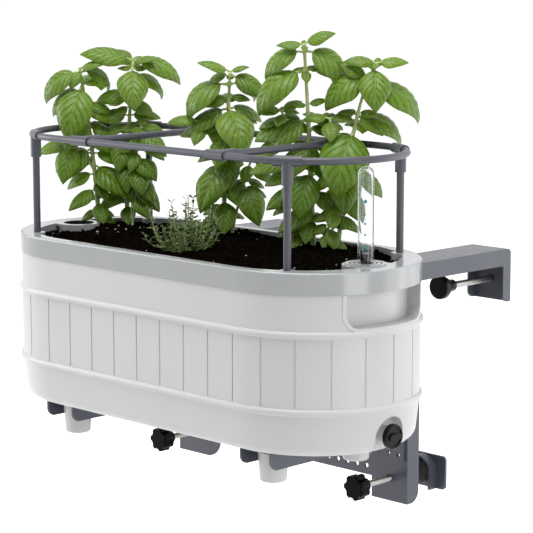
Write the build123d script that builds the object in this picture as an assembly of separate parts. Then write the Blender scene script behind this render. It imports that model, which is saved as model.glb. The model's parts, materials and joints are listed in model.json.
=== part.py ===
from build123d import *
import os
from math import cos, hypot, pi, radians, sin

# Self-watering herb planter that hangs on a railing by two screw-clamp brackets.
# Millimetres. Sizes are given in the planter's own frame: X along the planter, Y from its front to the
# railing, Z up from the underside of the shell, X = Y = 0 at its middle. save() then moves every piece so
# that the origin is where the hooks sit on the railing, midway between them.

# Shell and rim plan: a stadium, two round ends joined by straight sides
END_X = 161.0
WALL_R = 118.5
RIM_R = 119.5
BASE_R = 113.0
SHELL_WALL = 3.0
SHELL_TOP = 176.0
RIM_BOTTOM = 176.3
RIM_TOP = 200.0

# Shell decoration: two beads round the wall and upright grooves between them
BEAD_HEIGHTS = (50.0, 133.5)
BEAD_HALF = 4.0
BEAD_PROUD = 3.0
GROOVE_COUNT = 36
GROOVE_WIDTH = 2.0
GROOVE_DEPTH = 1.0
GROOVE_BOTTOM = 54.5
GROOVE_TOP = 128.5

# Hand pockets in both ends, under the rim
POCKET_HALF = 59.0
POCKET_BOTTOM = 139.0
POCKET_CORNER = 15.0
POCKET_DEPTH = 16.0
POCKET_WALL = 2.5
POCKET_LIP = 3.5
LIP_PROUD = 1.3

# Drain spout in an arched recess at the right end
DRAIN_Z = 17.0
DRAIN_RECESS_R = 22.0
DRAIN_BACK_X = 262.0
SPOUT_END_X = 275.0
SPOUT_R = 11.0
SPOUT_BORE = 8.0
GASKET_THICK = 1.5
PLUG_R = 13.75
PLUG_THICK = 6.0
PLUG_CORE_R = 7.6
PLUG_CORE_LENGTH = 11.0

# Feet, which drop through the arms
FOOT_X = 165.0
FOOT_Y = 67.0
FOOT_TOP_R = 17.5
FOOT_BOTTOM_R = 15.0
FOOT_LENGTH = 40.0

# Liner that holds the soil above the water
BASIN_END_X = 147.0
BASIN_R = 110.0
LINER_WALL = 2.5
LINER_FLOOR = 72.0
RIM_FLANGE = 3.0
PORT_X = 238.0
PORT_BOSS_R = 26.0
PORT_BOSS_BOTTOM = 184.0
PORT_TUBE_R = 22.0
PORT_TUBE_BOTTOM = 60.0
PORT_BORE = 18.5
SOCKET_R = 9.5
SOCKET_BOTTOM = 166.0
WICK_X = 95.0
WICK_TOP_R = 31.0
WICK_BOTTOM_R = 25.0
WICK_BOTTOM = 8.0
WICK_FLANGE_R = 37.0
WICK_WALL = 2.5
WICK_SLOTS = 6
SOIL_TOP = 192.0

# Water gauge
TUBE_R = 8.75
TUBE_WALL = 1.4
TUBE_BOTTOM = 190.0
TUBE_TOP = 306.0
CAP_FLANGE_R = 22.5
CAP_FLANGE = 1.6
FLOAT_R = 16.5
FLOAT_BOTTOM = 5.0
FLOAT_HEIGHT = 20.0
STEM_R = 2.5
INDICATOR_R = 5.5
INDICATOR_LENGTH = 16.0
INDICATOR_TOP = 212.0

# Trellis: posts, tees, a ring of four tubes, two cross bars
RING_R = 101.5
RING_Z = 316.0
RING_TUBE_R = 4.0
POST_X = 208.0
POST_Y = 90.0
POST_R = 4.2
POST_BOTTOM = 170.0
SLEEVE_R = 5.75
TEE_LEG_R = 6.25
TEE_LEG_LENGTH = 20.0
TEE_ARC = 18.0
TUBE_GAP = 0.5
BAR_X = 112.0
CLIP_LENGTH = 28.0
CLIP_LEG = 22.0
PLAY = 0.1

# Bracket sheet metal
SHEET = 2.5
BRACKET_X = 165.0
HOOK_WIDTH = 55.0
UPRIGHT_FRONT = 125.0
UPRIGHT_BACK = 145.0
UPRIGHT_BOTTOM = -100.0
HOOK_SEAT_Z = 160.0
HOOK_TOP = 180.0
HOOK_END = 310.0
END_LEG_FRONT = 296.0
END_LEG_BOTTOM = 116.0
ARM_WIDTH = 48.0
ARM_FRONT = -95.0
ARM_TOP = -0.3
ARM_BOTTOM = -21.0
ARM_TAB_BOTTOM = -49.0
FOOT_HOLE_R = 19.0
TAB_HOLE_Z = -43.0
TAB_HOLE_PITCH = 15.0
RAIL_TOP = -50.0
RAIL_BOTTOM = -75.0
RAIL_FLANGE = 15.0
RAIL_HOLE_Z = -64.5
RAIL_HOLE_R = 2.8
RAIL_HOLE_PITCH = 15.2
RAIL_HOLE_COUNT = 18

# Bracket bolts (M6)
BOLT_R = 3.0
BOLT_HEAD = 4.0
BOLT_FLATS = 10.0
BOLT_NUT = 5.0
ARM_BOLT_Z = -26.0
ARM_BOLT_HALF = 12.0
RAIL_BOLT_Y = 136.0
RAIL_BOLT_Z = -64.0

# Clamp screws (M8)
ROD_R = 3.9
ROD_HOLE_R = 4.6
NUT_FLATS = 13.0
NUT_THICK = 6.5
NUT_BORE_R = 4.3
LOWER_Z = -73.5
KNOB_FRONT = 62.0
KNOB_R = 15.0
KNOB_THICK = 14.0
KNOB_HUB_R = 8.0
KNOB_HUB = 8.0
KNOB_LOBES = 7
LOWER_PAD_FRONT = 158.0
LOWER_PAD_R = 15.5
SHOE_FACE = 186.0
SHOE_PLATE = 3.0
SHOE_WIDTH = 66.0
SHOE_HEIGHT = 40.0
HORSESHOE_R = 19.5
HORSESHOE_WALL = 3.0
HORSESHOE_DEPTH = 12.0
UPPER_Z = 141.0
UPPER_PAD_FACE = 208.0
UPPER_PAD_R = 14.0
UPPER_PAD_DISC = 7.0
UPPER_PAD_END = 235.0
UPPER_HEAD_FRONT = 317.0
UPPER_HEAD = 5.3

# Basil: stems by plant. A stem is three places, each (x, y, height above the soil), its girth, and its leaves.
# A row of leaves is (height above the soil, heading in degrees, length, length of the leaf opposite,
# rise at the stem and fall at the tip in degrees).
BASIL = {
    "basil_left": (
        (((-234, 30, -4), (-240, 24, 99), (-250, 14, 198)), 2.9, (
            (192, 235, 70, 60, 18, 78), (176, 290, 79, 66, 8, 85), (170, 232, 60, 0, 0, 85),
            (146, 20, 34, 36, 10, 60), (112, 228, 55, 48, 10, 60), (98, 262, 55, 53, 0, 85),
            (92, 222, 53, 48, 10, 55), (78, 5, 66, 43, 5, 65), (66, 228, 46, 41, 5, 65))),
        (((-212, 56, -4), (-210, 58, 107), (-205, 63, 205)), 2.9, (
            (204, 222, 67, 0, 25, 35), (202, 42, 72, 0, 10, 72), (188, 318, 74, 65, 5, 80),
            (186, 60, 62, 0, 0, 88), (160, 225, 50, 0, 35, 55), (158, 15, 38, 41, 0, 60),
            (138, 228, 43, 41, 25, 45), (114, 300, 53, 48, 0, 75), (90, 315, 55, 48, 0, 75),
            (70, 345, 62, 48, 0, 85), (66, 50, 46, 43, 10, 80), (44, 240, 46, 36, 0, 65))),
        (((-196, 50, -4), (-194, 52, 60), (-188, 58, 124)), 2.2, (
            (122, 0, 50, 43, 5, 60), (78, 330, 43, 36, 0, 70), (53, 30, 36, 36, 0, 60))),
        (((-238, 26, 70), (-246, 18, 88), (-256, 8, 104)), 1.7, (
            (104, 225, 50, 0, 10, 50), (103, 300, 58, 0, 5, 85), (88, 225, 48, 0, 0, 60))),
    ),
    "basil_middle": (
        (((-50, 64, -4), (-46, 68, 107), (-43, 71, 199)), 2.9, (
            (199, 225, 41, 0, 40, 10), (194, 30, 48, 36, 12, 45), (186, 232, 84, 53, 28, 78),
            (162, 330, 74, 60, 18, 78), (156, 240, 65, 53, 0, 65), (126, 300, 53, 48, 10, 75),
            (108, 228, 41, 41, 0, 55), (104, 318, 53, 43, 0, 85), (92, 285, 74, 48, 5, 85),
            (66, 40, 41, 41, 0, 65), (48, 315, 48, 41, 0, 70), (30, 250, 36, 34, 0, 60))),
        (((-40, 68, -4), (-31, 77, 55), (-21, 87, 100)), 1.9, (
            (90, 300, 31, 29, 10, 60), (70, 240, 34, 31, 0, 60), (66, 338, 58, 41, 0, 85))),
        (((-47, 67, 80), (-56, 58, 112), (-69, 45, 140)), 1.8, (
            (140, 225, 41, 31, 30, 40), (130, 210, 36, 36, 0, 50))),
    ),
    "basil_right": (
        (((100, 64, -4), (97, 61, 110), (92, 56, 236)), 3.3, (
            (236, 52, 38, 0, 45, 10), (230, 215, 65, 0, 12, 65), (229, 30, 72, 0, 15, 62),
            (206, 243, 89, 70, 22, 80), (152, 290, 58, 48, 0, 78), (150, 222, 72, 53, 5, 60),
            (120, 240, 41, 41, 0, 60), (94, 300, 65, 53, 0, 85), (88, 252, 50, 48, 0, 75),
            (70, 20, 48, 43, 0, 75), (58, 275, 48, 41, 0, 75), (40, 300, 36, 31, 0, 65))),
        (((128, 74, -4), (141, 86, 138), (159, 104, 216)), 2.9, (
            (216, 222, 38, 36, 25, 25), (212, 315, 60, 43, 5, 82), (200, 40, 77, 0, 8, 85),
            (199, 240, 72, 0, 22, 65), (196, 195, 41, 0, 45, 20), (158, 10, 38, 36, 0, 60),
            (156, 50, 77, 0, 5, 80), (142, 298, 91, 60, 5, 85), (108, 42, 65, 53, 5, 75),
            (96, 310, 58, 48, 0, 80), (70, 350, 43, 41, 0, 80), (54, 60, 36, 36, 0, 65))),
        (((88, 56, -4), (82, 50, 98), (72, 40, 161)), 2.2, (
            (152, 215, 36, 36, 0, 60), (126, 222, 48, 41, 0, 55), (104, 225, 55, 43, 10, 50),
            (70, 240, 43, 41, 0, 65))),
        (((120, 62, -4), (122, 64, 24), (126, 68, 48)), 1.8, (
            (42, 30, 41, 34, 15, 70),)),
        (((135, 81, 108), (129, 75, 130), (121, 67, 154)), 1.8, (
            (152, 315, 34, 31, 10, 60), (138, 45, 36, 36, 5, 60), (134, 225, 41, 36, 0, 55))),
    ),
}
# Every leaf leans towards the light, which falls from this heading
LIGHT = 315.0
LEAN = 32.0
LEAST_DROOP = 10.0
LEAF_CLEAR = 4.0
LEAF_TURNS = (0.0, 12.0, -12.0, 24.0, -24.0, 38.0, -38.0, 54.0, -54.0)
# Stations along a leaf: (share of its length, half width as a share of its length)
LEAF_STATIONS = ((0.0, 0.0), (0.13, 0.02), (0.26, 0.23), (0.46, 0.315), (0.74, 0.225), (1.0, 0.0))
LEAF_CUP = 0.30
LEAF_THICK = 0.02
STEM_SIDES = 6
STEM_TAPER = 0.5
FILL_WAY_TOP = 240.0

# Thyme: a tuft of sprigs
THYME_X = -5.0
THYME_Y = -34.0
THYME_SPRIGS = 30
THYME_FOOT_R = 24.0
THYME_SPREAD = 26.0
THYME_HEIGHT = 56.0
SPRIG_R = 3.2

os.makedirs("parts", exist_ok=True)
TO_RAILING = Pos(0, -UPRIGHT_BACK, -HOOK_SEAT_Z)
SIDES = {"left": -1, "right": 1}
ALONG_X = (1, 0, 0)
ALONG_Y = (0, 1, 0)


def save(name, shape):
    export_step(TO_RAILING * shape, f"parts/{name}.step")


def stadium(radius, bottom, top, end_x=END_X):
    """Upright prism of stadium plan."""
    plan = SlotCenterToCenter(2 * end_x, 2 * radius)
    return extrude(Pos(0, 0, bottom) * plan, top - bottom)


def outline(points, radii, plane):
    """Closed outline with rounded corners, on a plane."""
    return plane * make_face(FilletPolyline(*points, radius=radii, close=True))


def carried_round(half_section):
    """Carry a half section, drawn in XZ with X as the distance from the centre line, round the stadium."""
    front = Rot(0, 0, -90) * half_section
    end = Pos(END_X, 0, 0) * revolve(front, Axis.Z, 180)
    side = extrude(Pos(-END_X, 0, 0) * front, 2 * END_X, dir=ALONG_X)
    half_turn = Rot(0, 0, 180)
    return end + side + half_turn * end + half_turn * side


def rod(start, end, radius):
    """Round bar between two points."""
    axis = Vector(*end) - Vector(*start)
    return Part() + Solid.make_cylinder(radius, axis.length, Plane(origin=start, z_dir=axis))


def hexagon(start, direction, flats, length):
    """Hexagon bar from a point along a direction."""
    face = Plane(origin=start, z_dir=direction) * RegularPolygon(flats / 2, 6, major_radius=False)
    return extrude(face, length, dir=direction)


def turned(points, radii, origin):
    """Solid of revolution about a line along Y: points are (radius, distance along Y)."""
    face = make_face(FilletPolyline(*points, radius=radii, close=True))
    return Pos(*origin) * revolve(face, Axis.Y, 360)


def block(x_range, y_range, z_range):
    """Box between limits."""
    size = [high - low for low, high in (x_range, y_range, z_range)]
    middle = [(high + low) / 2 for low, high in (x_range, y_range, z_range)]
    return Pos(*middle) * Box(*size)


def perimeter_points(radius, count):
    """Equally spaced places round the stadium: (x, y, heading of the outward normal)."""
    quarter_arc = radius * pi / 2
    total = 4 * END_X + 4 * quarter_arc
    places = []
    for number in range(count):
        travel = (total * number / count + quarter_arc) % total
        half, along = divmod(travel, total / 2)
        turn = 180 * half
        if along < 2 * quarter_arc:
            angle = along / radius * 180 / pi - 90
            x = END_X + radius * cos(radians(angle))
            y = radius * sin(radians(angle))
        else:
            angle = 90
            x = END_X - (along - 2 * quarter_arc)
            y = radius
        sign = 1 - 2 * half
        places.append((sign * x, sign * y, angle + turn))
    return places


def hand_pocket_plan(margin, top):
    """Outline of a hand pocket on the YZ plane, open at the top, grown by a margin."""
    half = POCKET_HALF + margin
    low = POCKET_BOTTOM - margin
    corner = POCKET_CORNER + margin
    points = ((-half, low), (half, low), (half, top), (-half, top))
    return outline(points, (corner, corner, 0, 0), Plane.YZ)


def build_shell():
    """Outer shell: beaded and grooved wall, hand pockets, drain spout and four feet."""
    inner_r = WALL_R - SHELL_WALL
    inner_base = BASE_R - SHELL_WALL
    low_bead = BEAD_HEIGHTS[0]
    outer_points = ((0, 0), (BASE_R, 0), (WALL_R, low_bead), (WALL_R, SHELL_TOP), (0, SHELL_TOP))
    outer = carried_round(outline(outer_points, (0, 14, 40, 0, 0), Plane.XZ))
    inner_points = ((0, SHELL_WALL), (inner_base, SHELL_WALL), (inner_r, low_bead),
                    (inner_r, SHELL_TOP + 1), (0, SHELL_TOP + 1))
    inner = carried_round(outline(inner_points, (0, 11, 40, 0, 0), Plane.XZ))
    shell = outer - inner
    for height in BEAD_HEIGHTS:
        back = WALL_R - 1
        crest = ThreePointArc((back, height - BEAD_HALF), (WALL_R + BEAD_PROUD, height),
                              (back, height + BEAD_HALF))
        bead = make_face(crest + Line((back, height + BEAD_HALF), (back, height - BEAD_HALF)))
        shell += carried_round(Plane.XZ * bead)
    groove = block((-GROOVE_DEPTH, GROOVE_DEPTH), (-GROOVE_WIDTH / 2, GROOVE_WIDTH / 2),
                   (GROOVE_BOTTOM, GROOVE_TOP))
    places = perimeter_points(WALL_R, GROOVE_COUNT)
    shell -= [Pos(x, y, 0) * Rot(0, 0, heading) * groove for x, y, heading in places]

    wall = stadium(WALL_R - 0.5, POCKET_BOTTOM - 10, SHELL_TOP)
    reach = POCKET_DEPTH + POCKET_WALL
    cup = extrude(Pos(END_X, 0, 0) * hand_pocket_plan(POCKET_WALL, SHELL_TOP), 2 * RIM_R)
    cup = (cup & wall) - Pos(-reach, 0, 0) * wall
    hollow = extrude(Pos(END_X, 0, 0) * hand_pocket_plan(0, SHELL_TOP + 1), 2 * RIM_R)
    hollow -= Pos(-POCKET_DEPTH, 0, 0) * stadium(WALL_R - 0.5, POCKET_BOTTOM - 10, SHELL_TOP + 2)
    lip = extrude(Pos(END_X, 0, 0) * hand_pocket_plan(POCKET_LIP, SHELL_TOP), 2 * RIM_R)
    lip &= stadium(WALL_R + LIP_PROUD, POCKET_BOTTOM - 10, SHELL_TOP)
    lip -= stadium(WALL_R - 1, POCKET_BOTTOM - 10, SHELL_TOP)
    lip -= hollow
    for turn in (Rot(0, 0, 0), Rot(0, 0, 180)):
        shell = shell + turn * cup + turn * lip - turn * hollow

    back = DRAIN_BACK_X
    case_r = DRAIN_RECESS_R + POCKET_WALL
    case = rod((back - POCKET_WALL, 0, DRAIN_Z), (RIM_R + END_X, 0, DRAIN_Z), case_r)
    case += block((back - POCKET_WALL, RIM_R + END_X), (-case_r, case_r), (0, DRAIN_Z))
    recess = rod((back, 0, DRAIN_Z), (RIM_R + END_X, 0, DRAIN_Z), DRAIN_RECESS_R)
    recess += block((back, RIM_R + END_X), (-DRAIN_RECESS_R, DRAIN_RECESS_R), (-1, DRAIN_Z))
    shell = shell + (case & outer) - recess
    shell += rod((back - 1, 0, DRAIN_Z), (SPOUT_END_X, 0, DRAIN_Z), SPOUT_R)
    shell -= rod((back - 5, 0, DRAIN_Z), (SPOUT_END_X + 1, 0, DRAIN_Z), SPOUT_BORE)

    taper = (FOOT_TOP_R - FOOT_BOTTOM_R) / FOOT_LENGTH
    foot_points = ((0, 0), (FOOT_TOP_R, 0), (FOOT_BOTTOM_R, -FOOT_LENGTH), (0, -FOOT_LENGTH))
    hole_r = FOOT_TOP_R - SHELL_WALL
    hole_end = SHELL_WALL - FOOT_LENGTH
    hole_points = ((0, SHELL_WALL), (hole_r, SHELL_WALL), (hole_r + taper * hole_end, hole_end), (0, hole_end))
    foot = revolve(outline(foot_points, (0, 0, 3, 0), Plane.XZ), Axis.Z, 360)
    hole = revolve(outline(hole_points, (0, 0, 2, 0), Plane.XZ), Axis.Z, 360)
    for x in (-FOOT_X, FOOT_X):
        for y in (-FOOT_Y, FOOT_Y):
            shell = shell + Pos(x, y, 0) * foot - Pos(x, y, 0) * hole
    return shell


def build_drain_plug():
    """Screw plug with a finger ridge, and the gasket under its flange."""
    seat = SPOUT_END_X + GASKET_THICK
    face = seat + PLUG_THICK
    gasket = rod((SPOUT_END_X, 0, DRAIN_Z), (seat, 0, DRAIN_Z), SPOUT_R)
    gasket -= rod((SPOUT_END_X, 0, DRAIN_Z), (seat, 0, DRAIN_Z), SPOUT_BORE + 0.2)
    plug = rod((seat, 0, DRAIN_Z), (face, 0, DRAIN_Z), PLUG_R)
    plug = chamfer(plug.edges().group_by(Axis.X)[-1], 1.0)
    dish = rod((face - 1.2, 0, DRAIN_Z), (face, 0, DRAIN_Z), PLUG_R - 3)
    ridge = extrude(Plane(origin=(face - 1.2, 0, DRAIN_Z), z_dir=ALONG_X) * Ellipse(4.0, PLUG_R - 4), 3.2)
    plug = plug - dish + ridge
    plug += rod((seat - PLUG_CORE_LENGTH, 0, DRAIN_Z), (seat, 0, DRAIN_Z), PLUG_CORE_R)
    return plug, gasket


def build_liner():
    """Grey liner in four pieces: rim with its ports and post sockets, soil basin, fill tube, float tube."""
    deck_bottom = RIM_TOP - RIM_FLANGE
    inner_r = BASIN_R - LINER_WALL
    soil_space = stadium(inner_r, LINER_FLOOR + LINER_WALL, RIM_TOP + 1, BASIN_END_X)
    rim = stadium(RIM_R, RIM_BOTTOM, RIM_TOP)
    rim = fillet(rim.edges().group_by(Axis.Z)[-1], 2.0)
    rim -= stadium(RIM_R - RIM_FLANGE, RIM_BOTTOM - 1, deck_bottom)
    rim -= soil_space
    basin = stadium(BASIN_R, LINER_FLOOR, deck_bottom, BASIN_END_X) - soil_space
    tubes = []
    for side in (-1, 1):
        x = side * PORT_X
        boss = rod((x, 0, PORT_BOSS_BOTTOM), (x, 0, RIM_TOP), PORT_BOSS_R)
        bridge = sorted((x, side * (BASIN_END_X + BASIN_R)))
        boss += block(bridge, (-PORT_BOSS_R, PORT_BOSS_R), (deck_bottom, RIM_TOP))
        port = rod((x, 0, PORT_TUBE_BOTTOM), (x, 0, RIM_TOP), PORT_BORE)
        tube = rod((x, 0, PORT_TUBE_BOTTOM), (x, 0, PORT_BOSS_BOTTOM), PORT_TUBE_R)
        rim = rim + boss - port
        basin = basin - boss - tube - port
        tubes.append(tube - port)
        for y in (-POST_Y, POST_Y):
            place = (side * POST_X, y)
            socket = rod((*place, SOCKET_BOTTOM), (*place, RIM_TOP), SOCKET_R)
            rim = rim + socket - rod((*place, POST_BOTTOM), (*place, RIM_TOP), POST_R + PLAY)
            basin -= socket
        wick = (side * WICK_X, 0, LINER_FLOOR)
        basin -= rod(wick, (side * WICK_X, 0, LINER_FLOOR + LINER_WALL), WICK_TOP_R + 0.5)
    return rim, basin, *tubes


def build_wick_cup(x):
    """Slotted cup that carries soil down into the water."""
    floor_top = LINER_FLOOR + LINER_WALL
    drop = floor_top - WICK_BOTTOM
    outer = Pos(x, 0, WICK_BOTTOM + drop / 2) * Cone(WICK_BOTTOM_R, WICK_TOP_R, drop)
    outer += rod((x, 0, floor_top), (x, 0, floor_top + 2), WICK_FLANGE_R)
    inner = Pos(x, 0, WICK_BOTTOM + WICK_WALL + drop / 2)
    cup = outer - inner * Cone(WICK_BOTTOM_R - WICK_WALL, WICK_TOP_R - WICK_WALL, drop)
    slot = block((WICK_BOTTOM_R - 8, WICK_TOP_R + 5), (-2, 2), (WICK_BOTTOM + 8, WICK_BOTTOM + 40))
    cup -= [Pos(x, 0, 0) * Rot(0, 0, 360 * number / WICK_SLOTS) * slot for number in range(WICK_SLOTS)]
    return cup


def build_soil():
    """Potting soil in the basin, round the ports and sockets."""
    soil = stadium(BASIN_R - LINER_WALL - 0.1, LINER_FLOOR + LINER_WALL + 2.1, SOIL_TOP, BASIN_END_X)
    for side in (-1, 1):
        x = side * PORT_X
        soil -= rod((x, 0, LINER_FLOOR), (x, 0, RIM_TOP), PORT_TUBE_R + 0.1)
        soil -= rod((x, 0, PORT_BOSS_BOTTOM - 0.1), (x, 0, RIM_TOP), PORT_BOSS_R + 0.1)
        for y in (-POST_Y, POST_Y):
            soil -= rod((side * POST_X, y, SOCKET_BOTTOM - 0.1), (side * POST_X, y, RIM_TOP), SOCKET_R + 0.1)
    return soil


def build_gauge():
    """Ringed cap, clear domed tube, and the float on its stem."""
    seat = (PORT_X, 0, RIM_TOP)
    top = (PORT_X, 0, RIM_TOP + CAP_FLANGE)
    foot = (PORT_X, 0, TUBE_BOTTOM - 2)
    cap = rod(seat, top, CAP_FLANGE_R) + rod(foot, top, PORT_BORE - PLAY)
    for ring_r in (18.5, 13.5):
        groove = rod((PORT_X, 0, RIM_TOP + 0.8), top, ring_r)
        groove -= rod((PORT_X, 0, RIM_TOP + 0.8), top, ring_r - 1.8)
        cap -= groove
    cap -= rod((PORT_X, 0, TUBE_BOTTOM), top, TUBE_R + PLAY)
    cap -= rod(foot, top, INDICATOR_R + 0.8)

    shoulder = TUBE_TOP - TUBE_R
    middle = (PORT_X, 0, shoulder)
    tube = rod((PORT_X, 0, TUBE_BOTTOM), middle, TUBE_R) + Pos(*middle) * Sphere(TUBE_R)
    bore_r = TUBE_R - TUBE_WALL
    tube = tube - rod((PORT_X, 0, TUBE_BOTTOM), middle, bore_r) - Pos(*middle) * Sphere(bore_r)

    float_top = FLOAT_BOTTOM + FLOAT_HEIGHT
    buoy = rod((PORT_X, 0, FLOAT_BOTTOM), (PORT_X, 0, float_top), FLOAT_R)
    buoy = chamfer(buoy.edges().filter_by(GeomType.CIRCLE), 2.0)
    indicator_bottom = (PORT_X, 0, INDICATOR_TOP - INDICATOR_LENGTH)
    stem = rod((PORT_X, 0, float_top), indicator_bottom, STEM_R)
    stem += rod(indicator_bottom, (PORT_X, 0, INDICATOR_TOP), INDICATOR_R)
    return cap, tube, buoy, stem


def ring_arc(section_r, start, end):
    """Piece of the ring's right-hand bend, between two headings in degrees from +X."""
    section = Plane.XZ * (Pos(RING_R, RING_Z) * Circle(section_r))
    return Pos(END_X, 0, 0) * revolve(Rot(0, 0, start) * section, Axis.Z, end - start)


def build_trellis():
    """Pieces of the trellis by name."""
    tee_heading = Vector(1, 0, 0).get_signed_angle(Vector(POST_X - END_X, POST_Y, 0), Vector(0, 0, 1))
    gap = TUBE_GAP / RING_R * 180 / pi
    half_turn = Rot(0, 0, 180)
    end_tube = ring_arc(RING_TUBE_R, gap - tee_heading, tee_heading - gap)
    bend = ring_arc(RING_TUBE_R, -90, -tee_heading - gap)
    run = rod((-END_X, -RING_R, RING_Z), (END_X, -RING_R, RING_Z), RING_TUBE_R)
    side_tube = bend + run + mirror(bend, Plane.YZ)
    pieces = {
        "ring_tube_right": end_tube,
        "ring_tube_left": half_turn * end_tube,
        "ring_tube_front": side_tube,
        "ring_tube_back": half_turn * side_tube,
    }
    leg_top = (POST_X, POST_Y, RING_Z - RING_TUBE_R + 2)
    leg_bottom = (POST_X, POST_Y, RING_Z - SLEEVE_R - TEE_LEG_LENGTH)
    post_top = (POST_X, POST_Y, RING_Z - RING_TUBE_R - 1)
    tee = ring_arc(SLEEVE_R, tee_heading - TEE_ARC / 2, tee_heading + TEE_ARC / 2)
    tee += rod(leg_bottom, leg_top, TEE_LEG_R)
    tee -= ring_arc(RING_TUBE_R + PLAY, tee_heading - TEE_ARC, tee_heading + TEE_ARC)
    tee -= rod(leg_bottom, post_top, POST_R + PLAY)
    post = rod((POST_X, POST_Y, POST_BOTTOM), post_top, POST_R)
    clip_half = CLIP_LENGTH / 2
    clip_line = (Vector(BAR_X - clip_half, RING_R, RING_Z), Vector(BAR_X + clip_half, RING_R, RING_Z))
    leg_end = (BAR_X, RING_R - SLEEVE_R - CLIP_LEG, RING_Z)
    bar_end = RING_R - RING_TUBE_R - 2
    clip = rod(*clip_line, SLEEVE_R) + rod((BAR_X, RING_R, RING_Z), leg_end, SLEEVE_R)
    clip -= rod(*clip_line, RING_TUBE_R + PLAY)
    clip -= rod((BAR_X, bar_end, RING_Z), leg_end, RING_TUBE_R + PLAY)
    for depth, depth_sign in (("back", 1), ("front", -1)):
        for side, side_sign in SIDES.items():
            place = Rot(0, 0, 0 if side_sign > 0 else 180)
            if side_sign * depth_sign < 0:
                pieces[f"tee_{depth}_{side}"] = place * mirror(tee, Plane.XZ)
                pieces[f"post_{depth}_{side}"] = place * mirror(post, Plane.XZ)
            else:
                pieces[f"tee_{depth}_{side}"] = place * tee
                pieces[f"post_{depth}_{side}"] = place * post
    for side, side_sign in SIDES.items():
        shift = Pos((side_sign - 1) * BAR_X, 0, 0)
        bar = rod((BAR_X, -bar_end, RING_Z), (BAR_X, bar_end, RING_Z), RING_TUBE_R)
        pieces[f"cross_bar_{side}"] = shift * bar
        pieces[f"bar_clips_{side}"] = Compound([shift * clip, shift * mirror(clip, Plane.XZ)])
    return pieces


def build_hook(x):
    """Channel bent over the railing: upright, top and rear leg, with its flanges inside the bend."""
    points = ((UPRIGHT_FRONT, UPRIGHT_BOTTOM), (UPRIGHT_BACK, UPRIGHT_BOTTOM), (UPRIGHT_BACK, HOOK_SEAT_Z),
              (END_LEG_FRONT, HOOK_SEAT_Z), (END_LEG_FRONT, END_LEG_BOTTOM), (HOOK_END, END_LEG_BOTTOM),
              (HOOK_END, HOOK_TOP), (UPRIGHT_FRONT, HOOK_TOP))
    start = Pos(x - HOOK_WIDTH / 2, 0, 0)
    hook = extrude(start * outline(points, (0, 14, 2, 2, 8, 0, 6, 6), Plane.YZ), HOOK_WIDTH)
    inside = ((UPRIGHT_FRONT + SHEET, UPRIGHT_BOTTOM - 1), (HOOK_END - SHEET, UPRIGHT_BOTTOM - 1),
              (HOOK_END - SHEET, HOOK_TOP - SHEET), (UPRIGHT_FRONT + SHEET, HOOK_TOP - SHEET))
    hollow = outline(inside, (0, 0, 3.5, 3.5), Plane.YZ)
    hook -= extrude(Pos(x - HOOK_WIDTH / 2 + SHEET, 0, 0) * hollow, HOOK_WIDTH - 2 * SHEET)
    web = (UPRIGHT_FRONT - 1, UPRIGHT_FRONT + SHEET + 1)
    holes = [(x, LOWER_Z, ROD_HOLE_R)]
    holes += [(x + offset, ARM_BOLT_Z, BOLT_R + 0.2) for offset in (-ARM_BOLT_HALF, ARM_BOLT_HALF)]
    holes += [(x + offset, TAB_HOLE_Z, RAIL_HOLE_R) for offset in (-TAB_HOLE_PITCH, 0, TAB_HOLE_PITCH)]
    hook -= [rod((hole_x, web[0], z), (hole_x, web[1], z), r) for hole_x, z, r in holes]
    hook -= rod((x, HOOK_END - SHEET - 1, UPPER_Z), (x, HOOK_END + 1, UPPER_Z), ROD_HOLE_R)
    inner_face = x - HOOK_WIDTH / 2 if x > 0 else x + HOOK_WIDTH / 2
    bolt_at = (RAIL_BOLT_Y, RAIL_BOLT_Z)
    hook -= rod((inner_face - 4, *bolt_at), (inner_face + 4, *bolt_at), BOLT_R + 0.2)
    return hook


def build_arm(x):
    """Channel under the planter, bolted to the upright by a bent-down tab."""
    points = ((ARM_FRONT, ARM_TOP), (ARM_FRONT, ARM_BOTTOM), (UPRIGHT_FRONT, ARM_BOTTOM),
              (UPRIGHT_FRONT, ARM_TOP))
    half = ARM_WIDTH / 2
    arm = extrude(Pos(x - half, 0, 0) * outline(points, (0, 10, 0, 0), Plane.YZ), ARM_WIDTH)
    inner = (x - half + SHEET, x + half - SHEET)
    arm -= block(inner, (ARM_FRONT - 1, UPRIGHT_FRONT - SHEET), (ARM_BOTTOM - 1, ARM_TOP - SHEET))
    arm += block((x - half, x + half), (UPRIGHT_FRONT - SHEET, UPRIGHT_FRONT), (ARM_TAB_BOTTOM, ARM_TOP))
    for y in (-FOOT_Y, FOOT_Y):
        arm -= rod((x, y, ARM_TOP - SHEET - 1), (x, y, ARM_TOP + 1), FOOT_HOLE_R)
    tab = (UPRIGHT_FRONT - SHEET - 1, UPRIGHT_FRONT + 1)
    holes = [(x + offset, ARM_BOLT_Z, BOLT_R + 0.2) for offset in (-ARM_BOLT_HALF, ARM_BOLT_HALF)]
    holes += [(x + offset, TAB_HOLE_Z, RAIL_HOLE_R) for offset in (-TAB_HOLE_PITCH, 0, TAB_HOLE_PITCH)]
    arm -= [rod((hole_x, tab[0], z), (hole_x, tab[1], z), r) for hole_x, z, r in holes]
    return arm


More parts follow.
